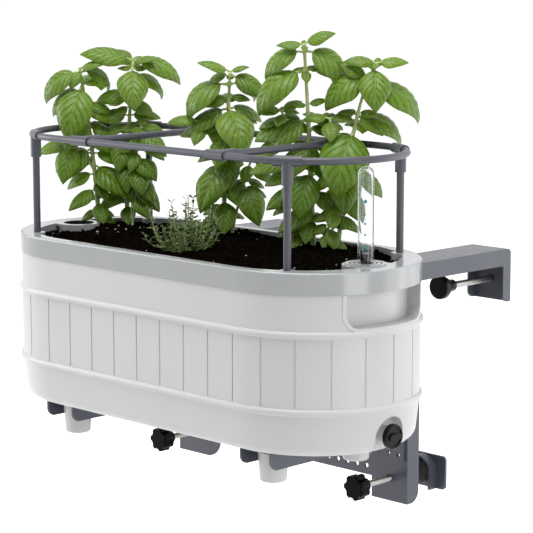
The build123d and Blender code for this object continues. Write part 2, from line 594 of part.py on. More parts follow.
def build_cross_rail():
    """Perforated angle between the uprights, with an end tab bolted to each."""
    end = BRACKET_X - HOOK_WIDTH / 2
    rail = block((-end, end), (UPRIGHT_FRONT, UPRIGHT_FRONT + SHEET), (RAIL_BOTTOM, RAIL_TOP))
    rail += block((-end, end), (UPRIGHT_FRONT, UPRIGHT_FRONT + RAIL_FLANGE), (RAIL_TOP - SHEET, RAIL_TOP))
    rail = fillet(rail.edges().filter_by(Axis.X).sort_by_distance((0, UPRIGHT_FRONT, RAIL_TOP))[0], 2.0)
    for side in (-1, 1):
        tab = sorted((side * (end - SHEET), side * end))
        rail += block(tab, (UPRIGHT_FRONT, UPRIGHT_BACK - 2), (RAIL_BOTTOM, RAIL_TOP))
        rail -= rod((side * (end - SHEET - 1), RAIL_BOLT_Y, RAIL_BOLT_Z),
                    (side * (end + 1), RAIL_BOLT_Y, RAIL_BOLT_Z), BOLT_R + 0.2)
    first = -RAIL_HOLE_PITCH * (RAIL_HOLE_COUNT - 1) / 2
    xs = [first + RAIL_HOLE_PITCH * number for number in range(RAIL_HOLE_COUNT)]
    rail -= [rod((x, UPRIGHT_FRONT - 1, RAIL_HOLE_Z), (x, UPRIGHT_FRONT + SHEET + 1, RAIL_HOLE_Z), RAIL_HOLE_R)
             for x in xs]
    return rail


def build_fasteners():
    """Bracket bolts and nuts, and the nuts that the clamp screws turn in."""
    bolts = []
    nuts = []
    clamp_nuts = []
    inside_web = UPRIGHT_FRONT + SHEET
    for side in SIDES.values():
        x = side * BRACKET_X
        for offset in (-ARM_BOLT_HALF, ARM_BOLT_HALF):
            head = (x + offset, UPRIGHT_FRONT - SHEET - BOLT_HEAD, ARM_BOLT_Z)
            seat = (x + offset, UPRIGHT_FRONT - SHEET, ARM_BOLT_Z)
            tip = (x + offset, inside_web + BOLT_NUT + 2, ARM_BOLT_Z)
            nut = (x + offset, inside_web, ARM_BOLT_Z)
            bolts.append(hexagon(head, ALONG_Y, BOLT_FLATS, BOLT_HEAD) + rod(seat, tip, BOLT_R))
            nuts.append(hexagon(nut, ALONG_Y, BOLT_FLATS, BOLT_NUT) - rod(nut, tip, BOLT_R + PLAY))
        face = side * (BRACKET_X - HOOK_WIDTH / 2)
        outward = (side, 0, 0)
        head = (face - side * (SHEET + BOLT_HEAD), RAIL_BOLT_Y, RAIL_BOLT_Z)
        seat = (face - side * SHEET, RAIL_BOLT_Y, RAIL_BOLT_Z)
        nut = (face + side * SHEET, RAIL_BOLT_Y, RAIL_BOLT_Z)
        tip = (face + side * (SHEET + BOLT_NUT + 2), RAIL_BOLT_Y, RAIL_BOLT_Z)
        bolts.append(hexagon(head, outward, BOLT_FLATS, BOLT_HEAD) + rod(seat, tip, BOLT_R))
        nuts.append(hexagon(nut, outward, BOLT_FLATS, BOLT_NUT) - rod(nut, tip, BOLT_R + PLAY))
        for seat in ((x, inside_web, LOWER_Z), (x, HOOK_END, UPPER_Z)):
            end = (seat[0], seat[1] + NUT_THICK, seat[2])
            body = hexagon(seat, ALONG_Y, NUT_FLATS, NUT_THICK)
            clamp_nuts.append(body - rod(seat, end, NUT_BORE_R))
    return Compound(bolts), Compound(nuts), Compound(clamp_nuts)


def build_knob(x):
    """Star knob on the lower clamp screw."""
    plan = Circle(KNOB_R)
    flute = Circle(5.0)
    plan -= [Rot(0, 0, 360 * number / KNOB_LOBES) * Pos(KNOB_R + 2.6, 0) * flute for number in range(KNOB_LOBES)]
    plan = fillet(plan.vertices(), 1.4)
    knob = extrude(plan, KNOB_THICK)
    knob = chamfer(knob.edges().group_by(Axis.Z)[0], 1.2)
    knob += rod((0, 0, KNOB_THICK), (0, 0, KNOB_THICK + KNOB_HUB), KNOB_HUB_R)
    knob -= rod((0, 0, KNOB_THICK - 4), (0, 0, KNOB_THICK + KNOB_HUB), ROD_R)
    return Plane(origin=(x, KNOB_FRONT, LOWER_Z), x_dir=ALONG_X, z_dir=ALONG_Y) * knob


def build_lower_clamp(x):
    """Threaded rod, swivel pad, and the shoe that the pad sits in."""
    start = KNOB_FRONT + KNOB_THICK - 4
    pad_end = SHOE_FACE - LOWER_PAD_FRONT
    screw = rod((x, start, LOWER_Z), (x, LOWER_PAD_FRONT + 7, LOWER_Z), ROD_R)
    profile = ((0, 0), (7, 0), (7, 7), (LOWER_PAD_R, 17), (LOWER_PAD_R, pad_end), (0, pad_end))
    pad = turned(profile, (0, 1, 3, 3, 1, 0), (x, LOWER_PAD_FRONT, LOWER_Z))
    pad -= rod((x, LOWER_PAD_FRONT - 1, LOWER_Z), (x, LOWER_PAD_FRONT + 8, LOWER_Z), ROD_R + 0.3)
    plate = block((x - SHOE_WIDTH / 2, x + SHOE_WIDTH / 2), (SHOE_FACE, SHOE_FACE + SHOE_PLATE),
                  (LOWER_Z - SHOE_HEIGHT / 2, LOWER_Z + SHOE_HEIGHT / 2))
    plate = fillet(plate.edges().filter_by(Axis.Y), 5.0)
    near = SHOE_FACE - HORSESHOE_DEPTH
    arch = rod((x, near, LOWER_Z), (x, SHOE_FACE, LOWER_Z), HORSESHOE_R)
    arch += block((x - HORSESHOE_R, x + HORSESHOE_R), (near, SHOE_FACE), (LOWER_Z - SHOE_HEIGHT / 2, LOWER_Z))
    inner_r = HORSESHOE_R - HORSESHOE_WALL
    arch -= rod((x, near, LOWER_Z), (x, SHOE_FACE, LOWER_Z), inner_r)
    arch -= block((x - inner_r, x + inner_r), (near, SHOE_FACE), (LOWER_Z - SHOE_HEIGHT / 2, LOWER_Z))
    return screw, pad, plate + arch


def build_upper_clamp(x):
    """Hexagon-headed screw and its swivel pad."""
    length = UPPER_PAD_END - UPPER_PAD_FACE
    bore = UPPER_PAD_END - 10
    profile = ((0, 0), (UPPER_PAD_R, 0), (UPPER_PAD_R, UPPER_PAD_DISC), (7, length - 6), (7, length), (0, length))
    pad = turned(profile, (0, 2, 2, 2, 1, 0), (x, UPPER_PAD_FACE, UPPER_Z))
    pad -= rod((x, bore, UPPER_Z), (x, UPPER_PAD_END + 1, UPPER_Z), ROD_R + 0.3)
    screw = rod((x, bore + 0.5, UPPER_Z), (x, UPPER_HEAD_FRONT, UPPER_Z), ROD_R)
    screw += hexagon((x, UPPER_HEAD_FRONT, UPPER_Z), ALONG_Y, NUT_FLATS, UPPER_HEAD)
    return screw, pad


def triangle(*corners):
    return Face(Wire.make_polygon(corners, close=True))


def closed_solid(faces):
    return Solid(Shell(faces))


def leaf_rows(base, heading, length, rise, droop):
    """Cross rows of a leaf that arches over from its stem: (edge, middle, edge, underside) at each station."""
    ahead = Vector(1, 0, 0).rotate(Axis.Z, heading - LIGHT).rotate(Axis.Y, LEAN).rotate(Axis.Z, LIGHT)
    up = Vector(0, 0, 1).rotate(Axis.Y, LEAN).rotate(Axis.Z, LIGHT)
    across = up.cross(ahead)
    fall = max(droop - LEAN * max(cos(radians(heading - LIGHT)), 0), LEAST_DROOP)
    middle = base
    travelled = 0.0
    rows = []
    for share, half_width in LEAF_STATIONS:
        pitch = radians(rise - (rise + fall) * (share + travelled) / 2)
        step = (share - travelled) * length
        middle = middle + ahead * (step * cos(pitch)) + up * (step * sin(pitch))
        travelled = share
        slope = radians(rise - (rise + fall) * share)
        normal = up * cos(slope) - ahead * sin(slope)
        side = across * (half_width * length)
        drop = normal * (half_width * length * LEAF_CUP)
        under = middle - normal * (LEAF_THICK * length + 0.6)
        rows.append((middle + side - drop, middle, middle - side - drop, under))
    return rows


def clear_of_frame(point):
    """True where a leaf may grow: off the ring, bars, posts, gauge and soil, and not over the fill port."""
    x, y, z = abs(point.X), abs(point.Y), point.Z
    from_ring = abs(hypot(x - END_X, y) - RING_R) if x > END_X else abs(y - RING_R)
    ring = hypot(from_ring, z - RING_Z) - SLEEVE_R
    bar = hypot(x - BAR_X, z - RING_Z) - SLEEVE_R if y < RING_R else ring
    post = hypot(x - POST_X, y - POST_Y) - TEE_LEG_R if z < RING_Z else ring
    gauge = hypot(point.X - PORT_X, y) - TUBE_R if z < TUBE_TOP else ring
    port = hypot(point.X + PORT_X, y) - PORT_BORE if z < FILL_WAY_TOP else ring
    ground = z - SOIL_TOP + LEAF_CLEAR - 2 if from_ring > 1 else ring
    return min(ring, bar, post, gauge, port, ground) > LEAF_CLEAR


def leaf_fits(rows):
    """Test a leaf on a grid of points between its rows."""
    for near, far in zip(rows[1:], rows[2:]):
        for step in (0.0, 0.33, 0.67, 1.0):
            row = [a + (b - a) * step for a, b in zip(near, far)]
            row += [(row[0] + row[1]) * 0.5, (row[1] + row[2]) * 0.5]
            if not all(clear_of_frame(point) for point in row):
                return False
    return True


def build_leaf(rows):
    """Thin closed leaf over its rows."""
    faces = []
    stem_end = rows[0][1]
    tip = rows[-1][1]
    for side in (0, 2):
        for skin in (1, 3):
            edge = [row[side] for row in rows[1:-1]]
            spine = [row[skin] for row in rows[1:-1]]
            faces.append(triangle(stem_end, edge[0], spine[0]))
            for number in range(len(edge) - 1):
                faces.append(triangle(spine[number], edge[number], edge[number + 1]))
                faces.append(triangle(spine[number], edge[number + 1], spine[number + 1]))
            faces.append(triangle(spine[-1], edge[-1], tip))
    return closed_solid(faces)


def stem_point(path, height):
    """Place on a stem at a height above the soil."""
    low, high = path[:2] if height < path[1][2] else path[1:]
    share = (height - low[2]) / (high[2] - low[2])
    return Vector(*low) + (Vector(*high) - Vector(*low)) * share + Vector(0, 0, SOIL_TOP)


def below_soil():
    """Space under the soil's surface, which trims what grows out of it."""
    return block((-END_X - RIM_R, END_X + RIM_R), (-RIM_R, RIM_R), (SOIL_TOP - 20, SOIL_TOP))


def build_stem(path, girth):
    """Slim six-sided stem through its three places, half as thick at the tip as at the foot."""
    rings = []
    for number, place in enumerate(path):
        radius = girth * (1 - STEM_TAPER * number / 2)
        corners = [Vector(radius, 0, 0).rotate(Axis.Z, 360 * side / STEM_SIDES) for side in range(STEM_SIDES)]
        rings.append([stem_point(path, place[2]) + corner for corner in corners])
    faces = [Face(Wire.make_polygon(ring, close=True)) for ring in (rings[0], rings[-1])]
    for low, high in zip(rings, rings[1:]):
        for side in range(STEM_SIDES):
            after = (side + 1) % STEM_SIDES
            faces.append(triangle(low[side], low[after], high[after]))
            faces.append(triangle(low[side], high[after], high[side]))
    return closed_solid(faces)


def build_basil(stems):
    """One plant: stems and their opposite leaves, each turned a little where the frame is in its way."""
    solids = []
    for path, girth, leaves in stems:
        solids.append(build_stem(path, girth))
        for height, heading, length, opposite, rise, droop in leaves:
            joint = stem_point(path, height - 1)
            for facing, size in ((heading, length), (heading + 180, opposite)):
                choices = [leaf_rows(joint, facing + turn, size, rise, droop) for turn in LEAF_TURNS if size]
                fitting = [rows for rows in choices if leaf_fits(rows)]
                if fitting:
                    solids.append(build_leaf(fitting[0]))
    return solids[0].fuse(*solids[1:]) - below_soil()


def build_thyme():
    """Tuft of sprigs that lean outwards, each a slim three-sided spindle."""
    solids = []
    golden_turn = 137.508
    for number in range(THYME_SPRIGS):
        share = (number + 0.5) / THYME_SPRIGS
        facing = radians(golden_turn * number)
        out = Vector(cos(facing), sin(facing), 0)
        across = Vector(-out.Y, out.X, 0)
        base = Vector(THYME_X, THYME_Y, SOIL_TOP - 4) + out * (THYME_FOOT_R * share ** 0.5)
        tip = base + out * (THYME_SPREAD * share) + Vector(0, 0, THYME_HEIGHT * (1.05 - 0.55 * share))
        belly = base + (tip - base) * 0.6 + out * 2
        ring = [belly + across * SPRIG_R, belly - across * SPRIG_R * 0.5 + out * SPRIG_R,
                belly - across * SPRIG_R * 0.5 - out * SPRIG_R]
        faces = [triangle(end, ring[side], ring[(side + 1) % 3]) for end in (base, tip) for side in range(3)]
        solids.append(closed_solid(faces))
    return solids[0].fuse(*solids[1:]) - below_soil()


save("shell", build_shell())
drain_plug, drain_gasket = build_drain_plug()
save("drain_plug", drain_plug)
save("drain_gasket", drain_gasket)
rim, basin, fill_tube, float_tube = build_liner()
save("rim", rim)
save("basin", basin)
save("fill_tube", fill_tube)
save("float_tube", float_tube)
save("wick_cup_left", build_wick_cup(-WICK_X))
save("wick_cup_right", build_wick_cup(WICK_X))
save("soil", build_soil())
gauge_cap, gauge_tube, gauge_float, float_stem = build_gauge()
save("gauge_cap", gauge_cap)
save("gauge_tube", gauge_tube)
save("gauge_float", gauge_float)
save("float_stem", float_stem)
for node, piece in build_trellis().items():
    save(node, piece)
save("cross_rail", build_cross_rail())
bracket_bolts, bracket_nuts, clamp_nuts = build_fasteners()
save("bracket_bolts", bracket_bolts)
save("bracket_nuts", bracket_nuts)
save("clamp_nuts", clamp_nuts)
for hand, hand_sign in SIDES.items():
    middle_x = hand_sign * BRACKET_X
    save(f"hook_{hand}", build_hook(middle_x))
    save(f"arm_{hand}", build_arm(middle_x))
    save(f"knob_{hand}", build_knob(middle_x))
    lower_rod, lower_pad, shoe = build_lower_clamp(middle_x)
    save(f"lower_rod_{hand}", lower_rod)
    save(f"lower_pad_{hand}", lower_pad)
    save(f"shoe_{hand}", shoe)
    upper_rod, upper_pad = build_upper_clamp(middle_x)
    save(f"upper_rod_{hand}", upper_rod)
    save(f"upper_pad_{hand}", upper_pad)
for plant, stems in BASIL.items():
    save(plant, build_basil(stems))
save("thyme", build_thyme())
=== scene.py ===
"""Herb planter that hangs on a railing: finishes, soil, plants and studio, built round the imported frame."""
import json
import logging
import math
import random
from dataclasses import dataclass, field
from enum import Enum
from typing import Protocol

import bmesh
import bpy
import numpy as np
from mathutils import Matrix, Vector, noise

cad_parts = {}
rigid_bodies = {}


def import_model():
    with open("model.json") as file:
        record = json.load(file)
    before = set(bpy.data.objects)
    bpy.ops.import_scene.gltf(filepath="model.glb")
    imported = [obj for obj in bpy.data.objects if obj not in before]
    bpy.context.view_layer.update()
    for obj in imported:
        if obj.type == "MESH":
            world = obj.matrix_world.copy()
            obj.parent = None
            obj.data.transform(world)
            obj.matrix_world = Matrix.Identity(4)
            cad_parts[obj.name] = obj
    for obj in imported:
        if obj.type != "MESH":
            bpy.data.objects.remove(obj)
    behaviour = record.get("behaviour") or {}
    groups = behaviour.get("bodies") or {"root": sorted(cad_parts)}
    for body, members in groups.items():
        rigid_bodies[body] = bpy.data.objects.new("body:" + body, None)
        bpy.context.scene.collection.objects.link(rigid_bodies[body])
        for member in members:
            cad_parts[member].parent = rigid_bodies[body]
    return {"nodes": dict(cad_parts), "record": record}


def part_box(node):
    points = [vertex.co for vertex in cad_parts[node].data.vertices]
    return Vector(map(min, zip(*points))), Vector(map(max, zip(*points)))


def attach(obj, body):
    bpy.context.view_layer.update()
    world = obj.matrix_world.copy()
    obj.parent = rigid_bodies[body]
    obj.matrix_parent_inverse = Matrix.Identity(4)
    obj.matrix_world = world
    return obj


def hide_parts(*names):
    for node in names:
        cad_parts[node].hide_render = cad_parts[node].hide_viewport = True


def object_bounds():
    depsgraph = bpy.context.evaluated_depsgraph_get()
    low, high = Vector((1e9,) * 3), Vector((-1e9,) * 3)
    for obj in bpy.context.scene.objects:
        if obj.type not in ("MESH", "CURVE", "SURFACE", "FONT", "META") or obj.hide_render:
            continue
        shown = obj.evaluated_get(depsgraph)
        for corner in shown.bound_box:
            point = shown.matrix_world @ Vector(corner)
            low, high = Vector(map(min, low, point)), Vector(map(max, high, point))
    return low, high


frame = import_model()
for stray in [thing for thing in bpy.data.objects if thing.name in ("Cube", "Light", "Camera")]:
    bpy.data.objects.remove(stray)
CAD_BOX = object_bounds()

log = logging.getLogger("herb_planter")
MM = 0.001
FULL_TURN = 2 * math.pi
GOLDEN_ANGLE = 137.508
LINER_BODY = "planter_liner"
SOIL_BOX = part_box("soil")
MIDDLE = (SOIL_BOX[0] + SOIL_BOX[1]) / 2
SOIL_TOP = SOIL_BOX[1].z
LEAF_PLACE = "leaf_place"
LEAF_TINT = "leaf_tint"
VEIN_PAIRS = 6.5
VEIN_SWEEP = 2.5


def upright_axis(node: str) -> tuple[float, float]:
    """Place (x, y) of the upright axis through the middle of a CAD node."""
    low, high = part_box(node)
    return (low.x + high.x) / 2, (low.y + high.y) / 2


def half_size(node: str, axis: int) -> float:
    """Half the size of a CAD node along an axis, in metres."""
    low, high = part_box(node)
    return (high[axis] - low[axis]) / 2


def planter_point(x: float, y: float, above_soil: float) -> Vector:
    """Point of the frame from millimetres along, across and above the soil.

    Args:
        x: millimetres from the planter's middle along the railing.
        y: millimetres from the planter's middle towards the railing.
        above_soil: millimetres above the flat of the soil.

    Returns:
        The point in metres in the row frame.
    """
    return Vector((MIDDLE.x + x * MM, MIDDLE.y + y * MM, SOIL_TOP + above_soil * MM))


def rgba(colour: tuple, factor: float = 1.0) -> tuple:
    """Colour with alpha, scaled."""
    return (*(min(1.0, channel * factor) for channel in colour), 1.0)


class Sum(Enum):
    """What a math node does with its values."""

    ABSOLUTE = "ABSOLUTE"
    ADD = "ADD"
    MAXIMUM = "MAXIMUM"
    MULTIPLY = "MULTIPLY"
    PINGPONG = "PINGPONG"
    POWER = "POWER"
    SQRT = "SQRT"
    SUBTRACT = "SUBTRACT"


class ShaderSketch:
    """Short way to add and join the shader nodes of one material. Scales are features per metre."""

    def __init__(self, name: str) -> None:
        """Start a material with one principled shader.

        Args:
            name: name of the material.
        """
        self.material = bpy.data.materials.new(name)
        self.material.use_nodes = True
        self.tree = self.material.node_tree
        self.tree.nodes.clear()
        self.output = self.tree.nodes.new("ShaderNodeOutputMaterial")
        self.surface = self.tree.nodes.new("ShaderNodeBsdfPrincipled")
        self.join(self.surface.outputs["BSDF"], self.output.inputs["Surface"])

    def join(self, source: bpy.types.NodeSocket, target: bpy.types.NodeSocket) -> None:
        """Link two sockets."""
        self.tree.links.new(source, target)

    def feed(self, target: bpy.types.NodeSocket, value: object) -> None:
        """Link a socket to an input, or set a constant on it.

        Args:
            target: the input.
            value: the socket or the constant.
        """
        if isinstance(value, bpy.types.NodeSocket):
            self.join(value, target)
        else:
            target.default_value = value

    def set(self, **values: object) -> None:
        """Feed inputs of the principled shader, with the spaces of their names as underscores."""
        for name, value in values.items():
            self.feed(self.surface.inputs[name.replace("_", " ")], value)

    def place(self) -> bpy.types.NodeSocket:
        """Object coordinates, in metres of the row frame at rest."""
        return self.tree.nodes.new("ShaderNodeTexCoord").outputs["Object"]

    def split(self, vector: bpy.types.NodeSocket) -> bpy.types.Node:
        """Node that parts a vector into X, Y and Z.

        Args:
            vector: socket of the vector.

        Returns:
            The node.
        """
        node = self.tree.nodes.new("ShaderNodeSeparateXYZ")
        self.join(vector, node.inputs[0])
        return node

    def from_axis(self, middle: tuple) -> bpy.types.NodeSocket:
        """Distance from an upright axis.

        Args:
            middle: place (x, y) of the axis in the row frame, in metres.

        Returns:
            Socket of the distance, in metres.
        """
        place = self.split(self.place())
        along = self.math(Sum.POWER, self.math(Sum.SUBTRACT, place.outputs["X"], middle[0]), 2.0)
        across = self.math(Sum.POWER, self.math(Sum.SUBTRACT, place.outputs["Y"], middle[1]), 2.0)
        return self.math(Sum.SQRT, self.math(Sum.ADD, along, across))

    def attribute(self, name: str) -> bpy.types.Node:
        """Attribute node that reads a value kept on the mesh.

        Args:
            name: name of the attribute.

        Returns:
            The node.
        """
        node = self.tree.nodes.new("ShaderNodeAttribute")
        node.attribute_name = name
        return node

    def noise(self, scale: float, detail: float = 3.0,
              stretch: tuple = (1.0, 1.0, 1.0)) -> bpy.types.NodeSocket:
        """Noise in object space.

        Args:
            scale: features per metre.
            detail: octaves.
            stretch: scale of each axis.

        Returns:
            Socket of the noise value.
        """
        node = self.tree.nodes.new("ShaderNodeTexNoise")
        node.inputs["Scale"].default_value = scale
        node.inputs["Detail"].default_value = detail
        mapping = self.tree.nodes.new("ShaderNodeMapping")
        mapping.inputs["Scale"].default_value = stretch
        self.join(self.place(), mapping.inputs["Vector"])
        self.join(mapping.outputs["Vector"], node.inputs["Vector"])
        return node.outputs["Fac"]

    def cells(self, scale: float) -> bpy.types.NodeSocket:
        """Distance to the nearest cell centre, in object space.

        Args:
            scale: cells per metre.

        Returns:
            Socket of the distance.
        """
        node = self.tree.nodes.new("ShaderNodeTexVoronoi")
        node.inputs["Scale"].default_value = scale
        self.join(self.place(), node.inputs["Vector"])
        return node.outputs["Distance"]

    def math(self, operation: Sum, first: object, second: object = 0.0) -> bpy.types.NodeSocket:
        """Math node on two values.

        Args:
            operation: what it does with them.
            first: socket or number.
            second: socket or number.

        Returns:
            Socket of the result.
        """
        node = self.tree.nodes.new("ShaderNodeMath")
        node.operation = operation.value
        self.feed(node.inputs[0], first)
        self.feed(node.inputs[1], second)
        return node.outputs[0]

    def ramp(self, value: object, low: float, high: float,
             to_low: float, to_high: float) -> bpy.types.NodeSocket:
        """Smooth map of a value from one range to another.

        Args:
            value: socket or number to map.
            low: start of its range.
            high: end of its range.
            to_low: what the start becomes.
            to_high: what the end becomes.

        Returns:
            Socket of the mapped value.
        """
        node = self.tree.nodes.new("ShaderNodeMapRange")
        node.interpolation_type = "SMOOTHSTEP"
        self.feed(node.inputs["Value"], value)
        names = ("From Min", "From Max", "To Min", "To Max")
        for name, number in zip(names, (low, high, to_low, to_high)):
            node.inputs[name].default_value = number
        return node.outputs["Result"]

    def mix(self, share: object, first: object, second: object) -> bpy.types.NodeSocket:
        """Mix two colours.

        Args:
            share: share of the second colour, a socket or a number.
            first: socket or colour.
            second: socket or colour.

        Returns:
            Socket of the mixed colour.
        """
        node = self.tree.nodes.new("ShaderNodeMix")
        node.data_type = "RGBA"
        self.feed(node.inputs["Factor"], share)
        self.feed(node.inputs["A"], first)
        self.feed(node.inputs["B"], second)
        return node.outputs["Result"]

    def bump(self, height: bpy.types.NodeSocket, depth: float, strength: float = 1.0) -> None:
        """Give the surface relief.

        Args:
            height: socket of the relief's height.
            depth: metres that a height of 1 stands for.
            strength: share of the relief that shows.
        """
        node = self.tree.nodes.new("ShaderNodeBump")
        node.inputs["Strength"].default_value = strength
        node.inputs["Distance"].default_value = depth
        self.join(height, node.inputs["Height"])
        self.join(node.outputs["Normal"], self.surface.inputs["Normal"])


class Finish(Protocol):
    """Anything that makes a material."""

    def material(self) -> bpy.types.Material:
        """Make the material."""


@dataclass(frozen=True)
class MouldedPlastic:
    """Moulded plastic: fine spark grain, faint mottle and uneven gloss."""

    name: str
    colour: tuple
    roughness: float
    grain: float = 1500.0
    grain_depth: float = 0.00003
    mottle: float = 0.03
    gloss: float = 0.5
    uneven: float = 0.02
    cloud_scale: float = 14.0
    smear_scale: float = 30.0

    def tone(self, sketch: ShaderSketch) -> bpy.types.NodeSocket:
        """Colour with its mottle."""
        clouds = sketch.noise(self.cloud_scale, 4.0)
        return sketch.mix(clouds, rgba(self.colour, 1 - self.mottle), rgba(self.colour, 1 + self.mottle))

    def material(self) -> bpy.types.Material:
        """Make the material.

        Returns:
            The new material.
        """
        sketch = ShaderSketch(self.name)
        smears = sketch.ramp(sketch.noise(self.smear_scale), 0.2, 0.8,
                             self.roughness - self.uneven, self.roughness + self.uneven)
        sketch.set(Base_Color=self.tone(sketch), Roughness=smears, Specular_IOR_Level=self.gloss)
        sketch.bump(sketch.noise(self.grain, 2.0), self.grain_depth)
        return sketch.material


@dataclass(frozen=True)
class PortPlastic(MouldedPlastic):
    """Moulded plastic with painted shade deep inside the fill port's bore."""

    port: tuple = (0.0, 0.0)
    bore: float = 0.0188
    edge: float = 0.0006
    cover: float = 0.92
    # painted shade: colour that stands for the shade deep in the port's bore
    port_shade: tuple = (0.02, 0.019, 0.018)

    def tone(self, sketch: ShaderSketch) -> bpy.types.NodeSocket:
        """Colour with its mottle, with painted shade inside the port's bore."""
        # painted shade: the bore is darkened below its edge, where it lies in shade
        inside = sketch.ramp(sketch.from_axis(self.port), self.bore, self.bore + self.edge, self.cover, 0.0)
        return sketch.mix(inside, super().tone(sketch), rgba(self.port_shade))


@dataclass(frozen=True)
class RingedPlastic(MouldedPlastic):
    """Moulded plastic with painted shade in its ring grooves, each (inner, outer) radius in metres."""

    middle: tuple = (0.0, 0.0)
    grooves: tuple = ((0.0116, 0.0136), (0.0166, 0.0186))
    edge: float = 0.0002
    cover: float = 0.8
    # painted shade: colour that stands for the shade in the grooves
    groove_shade: tuple = (0.05, 0.05, 0.05)

    def tone(self, sketch: ShaderSketch) -> bpy.types.NodeSocket:
        """Colour with its mottle, with painted shade in the grooves.

        Args:
            sketch: the material being made.

        Returns:
            Socket of the colour.
        """
        away = sketch.from_axis(self.middle)
        tone = super().tone(sketch)
        for inner, outer in self.grooves:
            entered = sketch.ramp(away, inner - self.edge, inner + self.edge, 0.0, self.cover)
            left = sketch.ramp(away, outer - self.edge, outer + self.edge, 1.0, 0.0)
            # painted shade darkens each groove
            tone = sketch.mix(sketch.math(Sum.MULTIPLY, entered, left), tone, rgba(self.groove_shade))
        return tone


@dataclass(frozen=True)
class PowderCoat:
    """Powder coat on sheet steel: orange peel, paler flecks and a little dust on the gloss."""

    name: str
    colour: tuple
    roughness: float
    peel: float = 900.0
    peel_depth: float = 0.00003
    fleck_scale: float = 4200.0
    fleck_share: float = 0.2
    fleck_lift: float = 1.45
    dust_scale: float = 30.0

    def material(self) -> bpy.types.Material:
        """Make the material.

        Returns:
            The new material.
        """
        sketch = ShaderSketch(self.name)
        fleck = sketch.ramp(sketch.noise(self.fleck_scale, 1.0), 0.55, 0.75, 0.0, self.fleck_share)
        tone = sketch.mix(fleck, rgba(self.colour), rgba(self.colour, self.fleck_lift))
        dust = sketch.ramp(sketch.noise(self.dust_scale, 5.0), 0.35, 0.7,
                           self.roughness - 0.02, self.roughness + 0.04)
        sketch.set(Base_Color=tone, Roughness=dust)
        sketch.bump(sketch.noise(self.peel, 2.0), self.peel_depth)
        return sketch.material


@dataclass(frozen=True)
class ZincPlate:
    """Bright zinc plate with fine draw lines along Y."""

    name: str
    colour: tuple
    roughness: float
    line_scale: float = 2600.0
    line_stretch: tuple = (1.0, 0.05, 1.0)
    line_depth: float = 0.00001
    bloom_scale: float = 90.0

    def material(self) -> bpy.types.Material:
        """Make the material.

        Returns:
            The new material.
        """
        sketch = ShaderSketch(self.name)
        lines = sketch.noise(self.line_scale, 3.0, self.line_stretch)
        bloom = sketch.noise(self.bloom_scale, 4.0)
        tone = sketch.mix(bloom, rgba(self.colour, 0.86), rgba(self.colour, 1.08))
        polish = sketch.ramp(lines, 0.3, 0.7, self.roughness - 0.08, self.roughness + 0.12)
        sketch.set(Metallic=1.0, Base_Color=tone, Roughness=polish)
        sketch.bump(lines, self.line_depth)
        return sketch.material


@dataclass(frozen=True)
class Rubber:
    """Dull moulded rubber with a bloom."""

    name: str
    colour: tuple
    gloss: float = 0.22
    bloom_scale: float = 120.0
    bloom_share: float = 0.5
    bloom_lift: float = 1.9
    grain: float = 2200.0
    grain_depth: float = 0.00004

    def material(self) -> bpy.types.Material:
        """Make the material.

        Returns:
            The new material.
        """
        sketch = ShaderSketch(self.name)
        bloom = sketch.ramp(sketch.noise(self.bloom_scale, 4.0), 0.4, 0.75, 0.0, self.bloom_share)
        tone = sketch.mix(bloom, rgba(self.colour), rgba(self.colour, self.bloom_lift))
        dull = sketch.ramp(bloom, 0.0, self.bloom_share, 0.36, 0.54)
        sketch.set(Base_Color=tone, Roughness=dull, Specular_IOR_Level=self.gloss)
        sketch.bump(sketch.noise(self.grain, 2.0), self.grain_depth)
        return sketch.material


@dataclass(frozen=True)
class ClearTube:
    """Thin clear moulded tube: faint flow marks, a hard gloss, and a tint that deepens along its edges."""

    name: str
    colour: tuple
    shade: tuple
    density: float
    bend: float = 1.05
    gloss: float = 0.7
    flow_scale: float = 180.0
    flow_stretch: tuple = (1.0, 1.0, 0.2)

    def material(self) -> bpy.types.Material:
        """Make the material.

        Returns:
            The new material.
        """
        sketch = ShaderSketch(self.name)
        flow = sketch.ramp(sketch.noise(self.flow_scale, 2.0, self.flow_stretch), 0.4, 0.7, 0.0, 0.015)
        sketch.set(Base_Color=rgba(self.colour), Transmission_Weight=1.0, IOR=self.bend, Roughness=flow)
        sketch.set(Coat_Weight=self.gloss, Coat_Roughness=0.03, Coat_IOR=1.5)
        tint = sketch.tree.nodes.new("ShaderNodeVolumeAbsorption")
        tint.inputs["Color"].default_value = rgba(self.shade)
        tint.inputs["Density"].default_value = self.density
        sketch.join(tint.outputs["Volume"], sketch.output.inputs["Volume"])
        return sketch.material


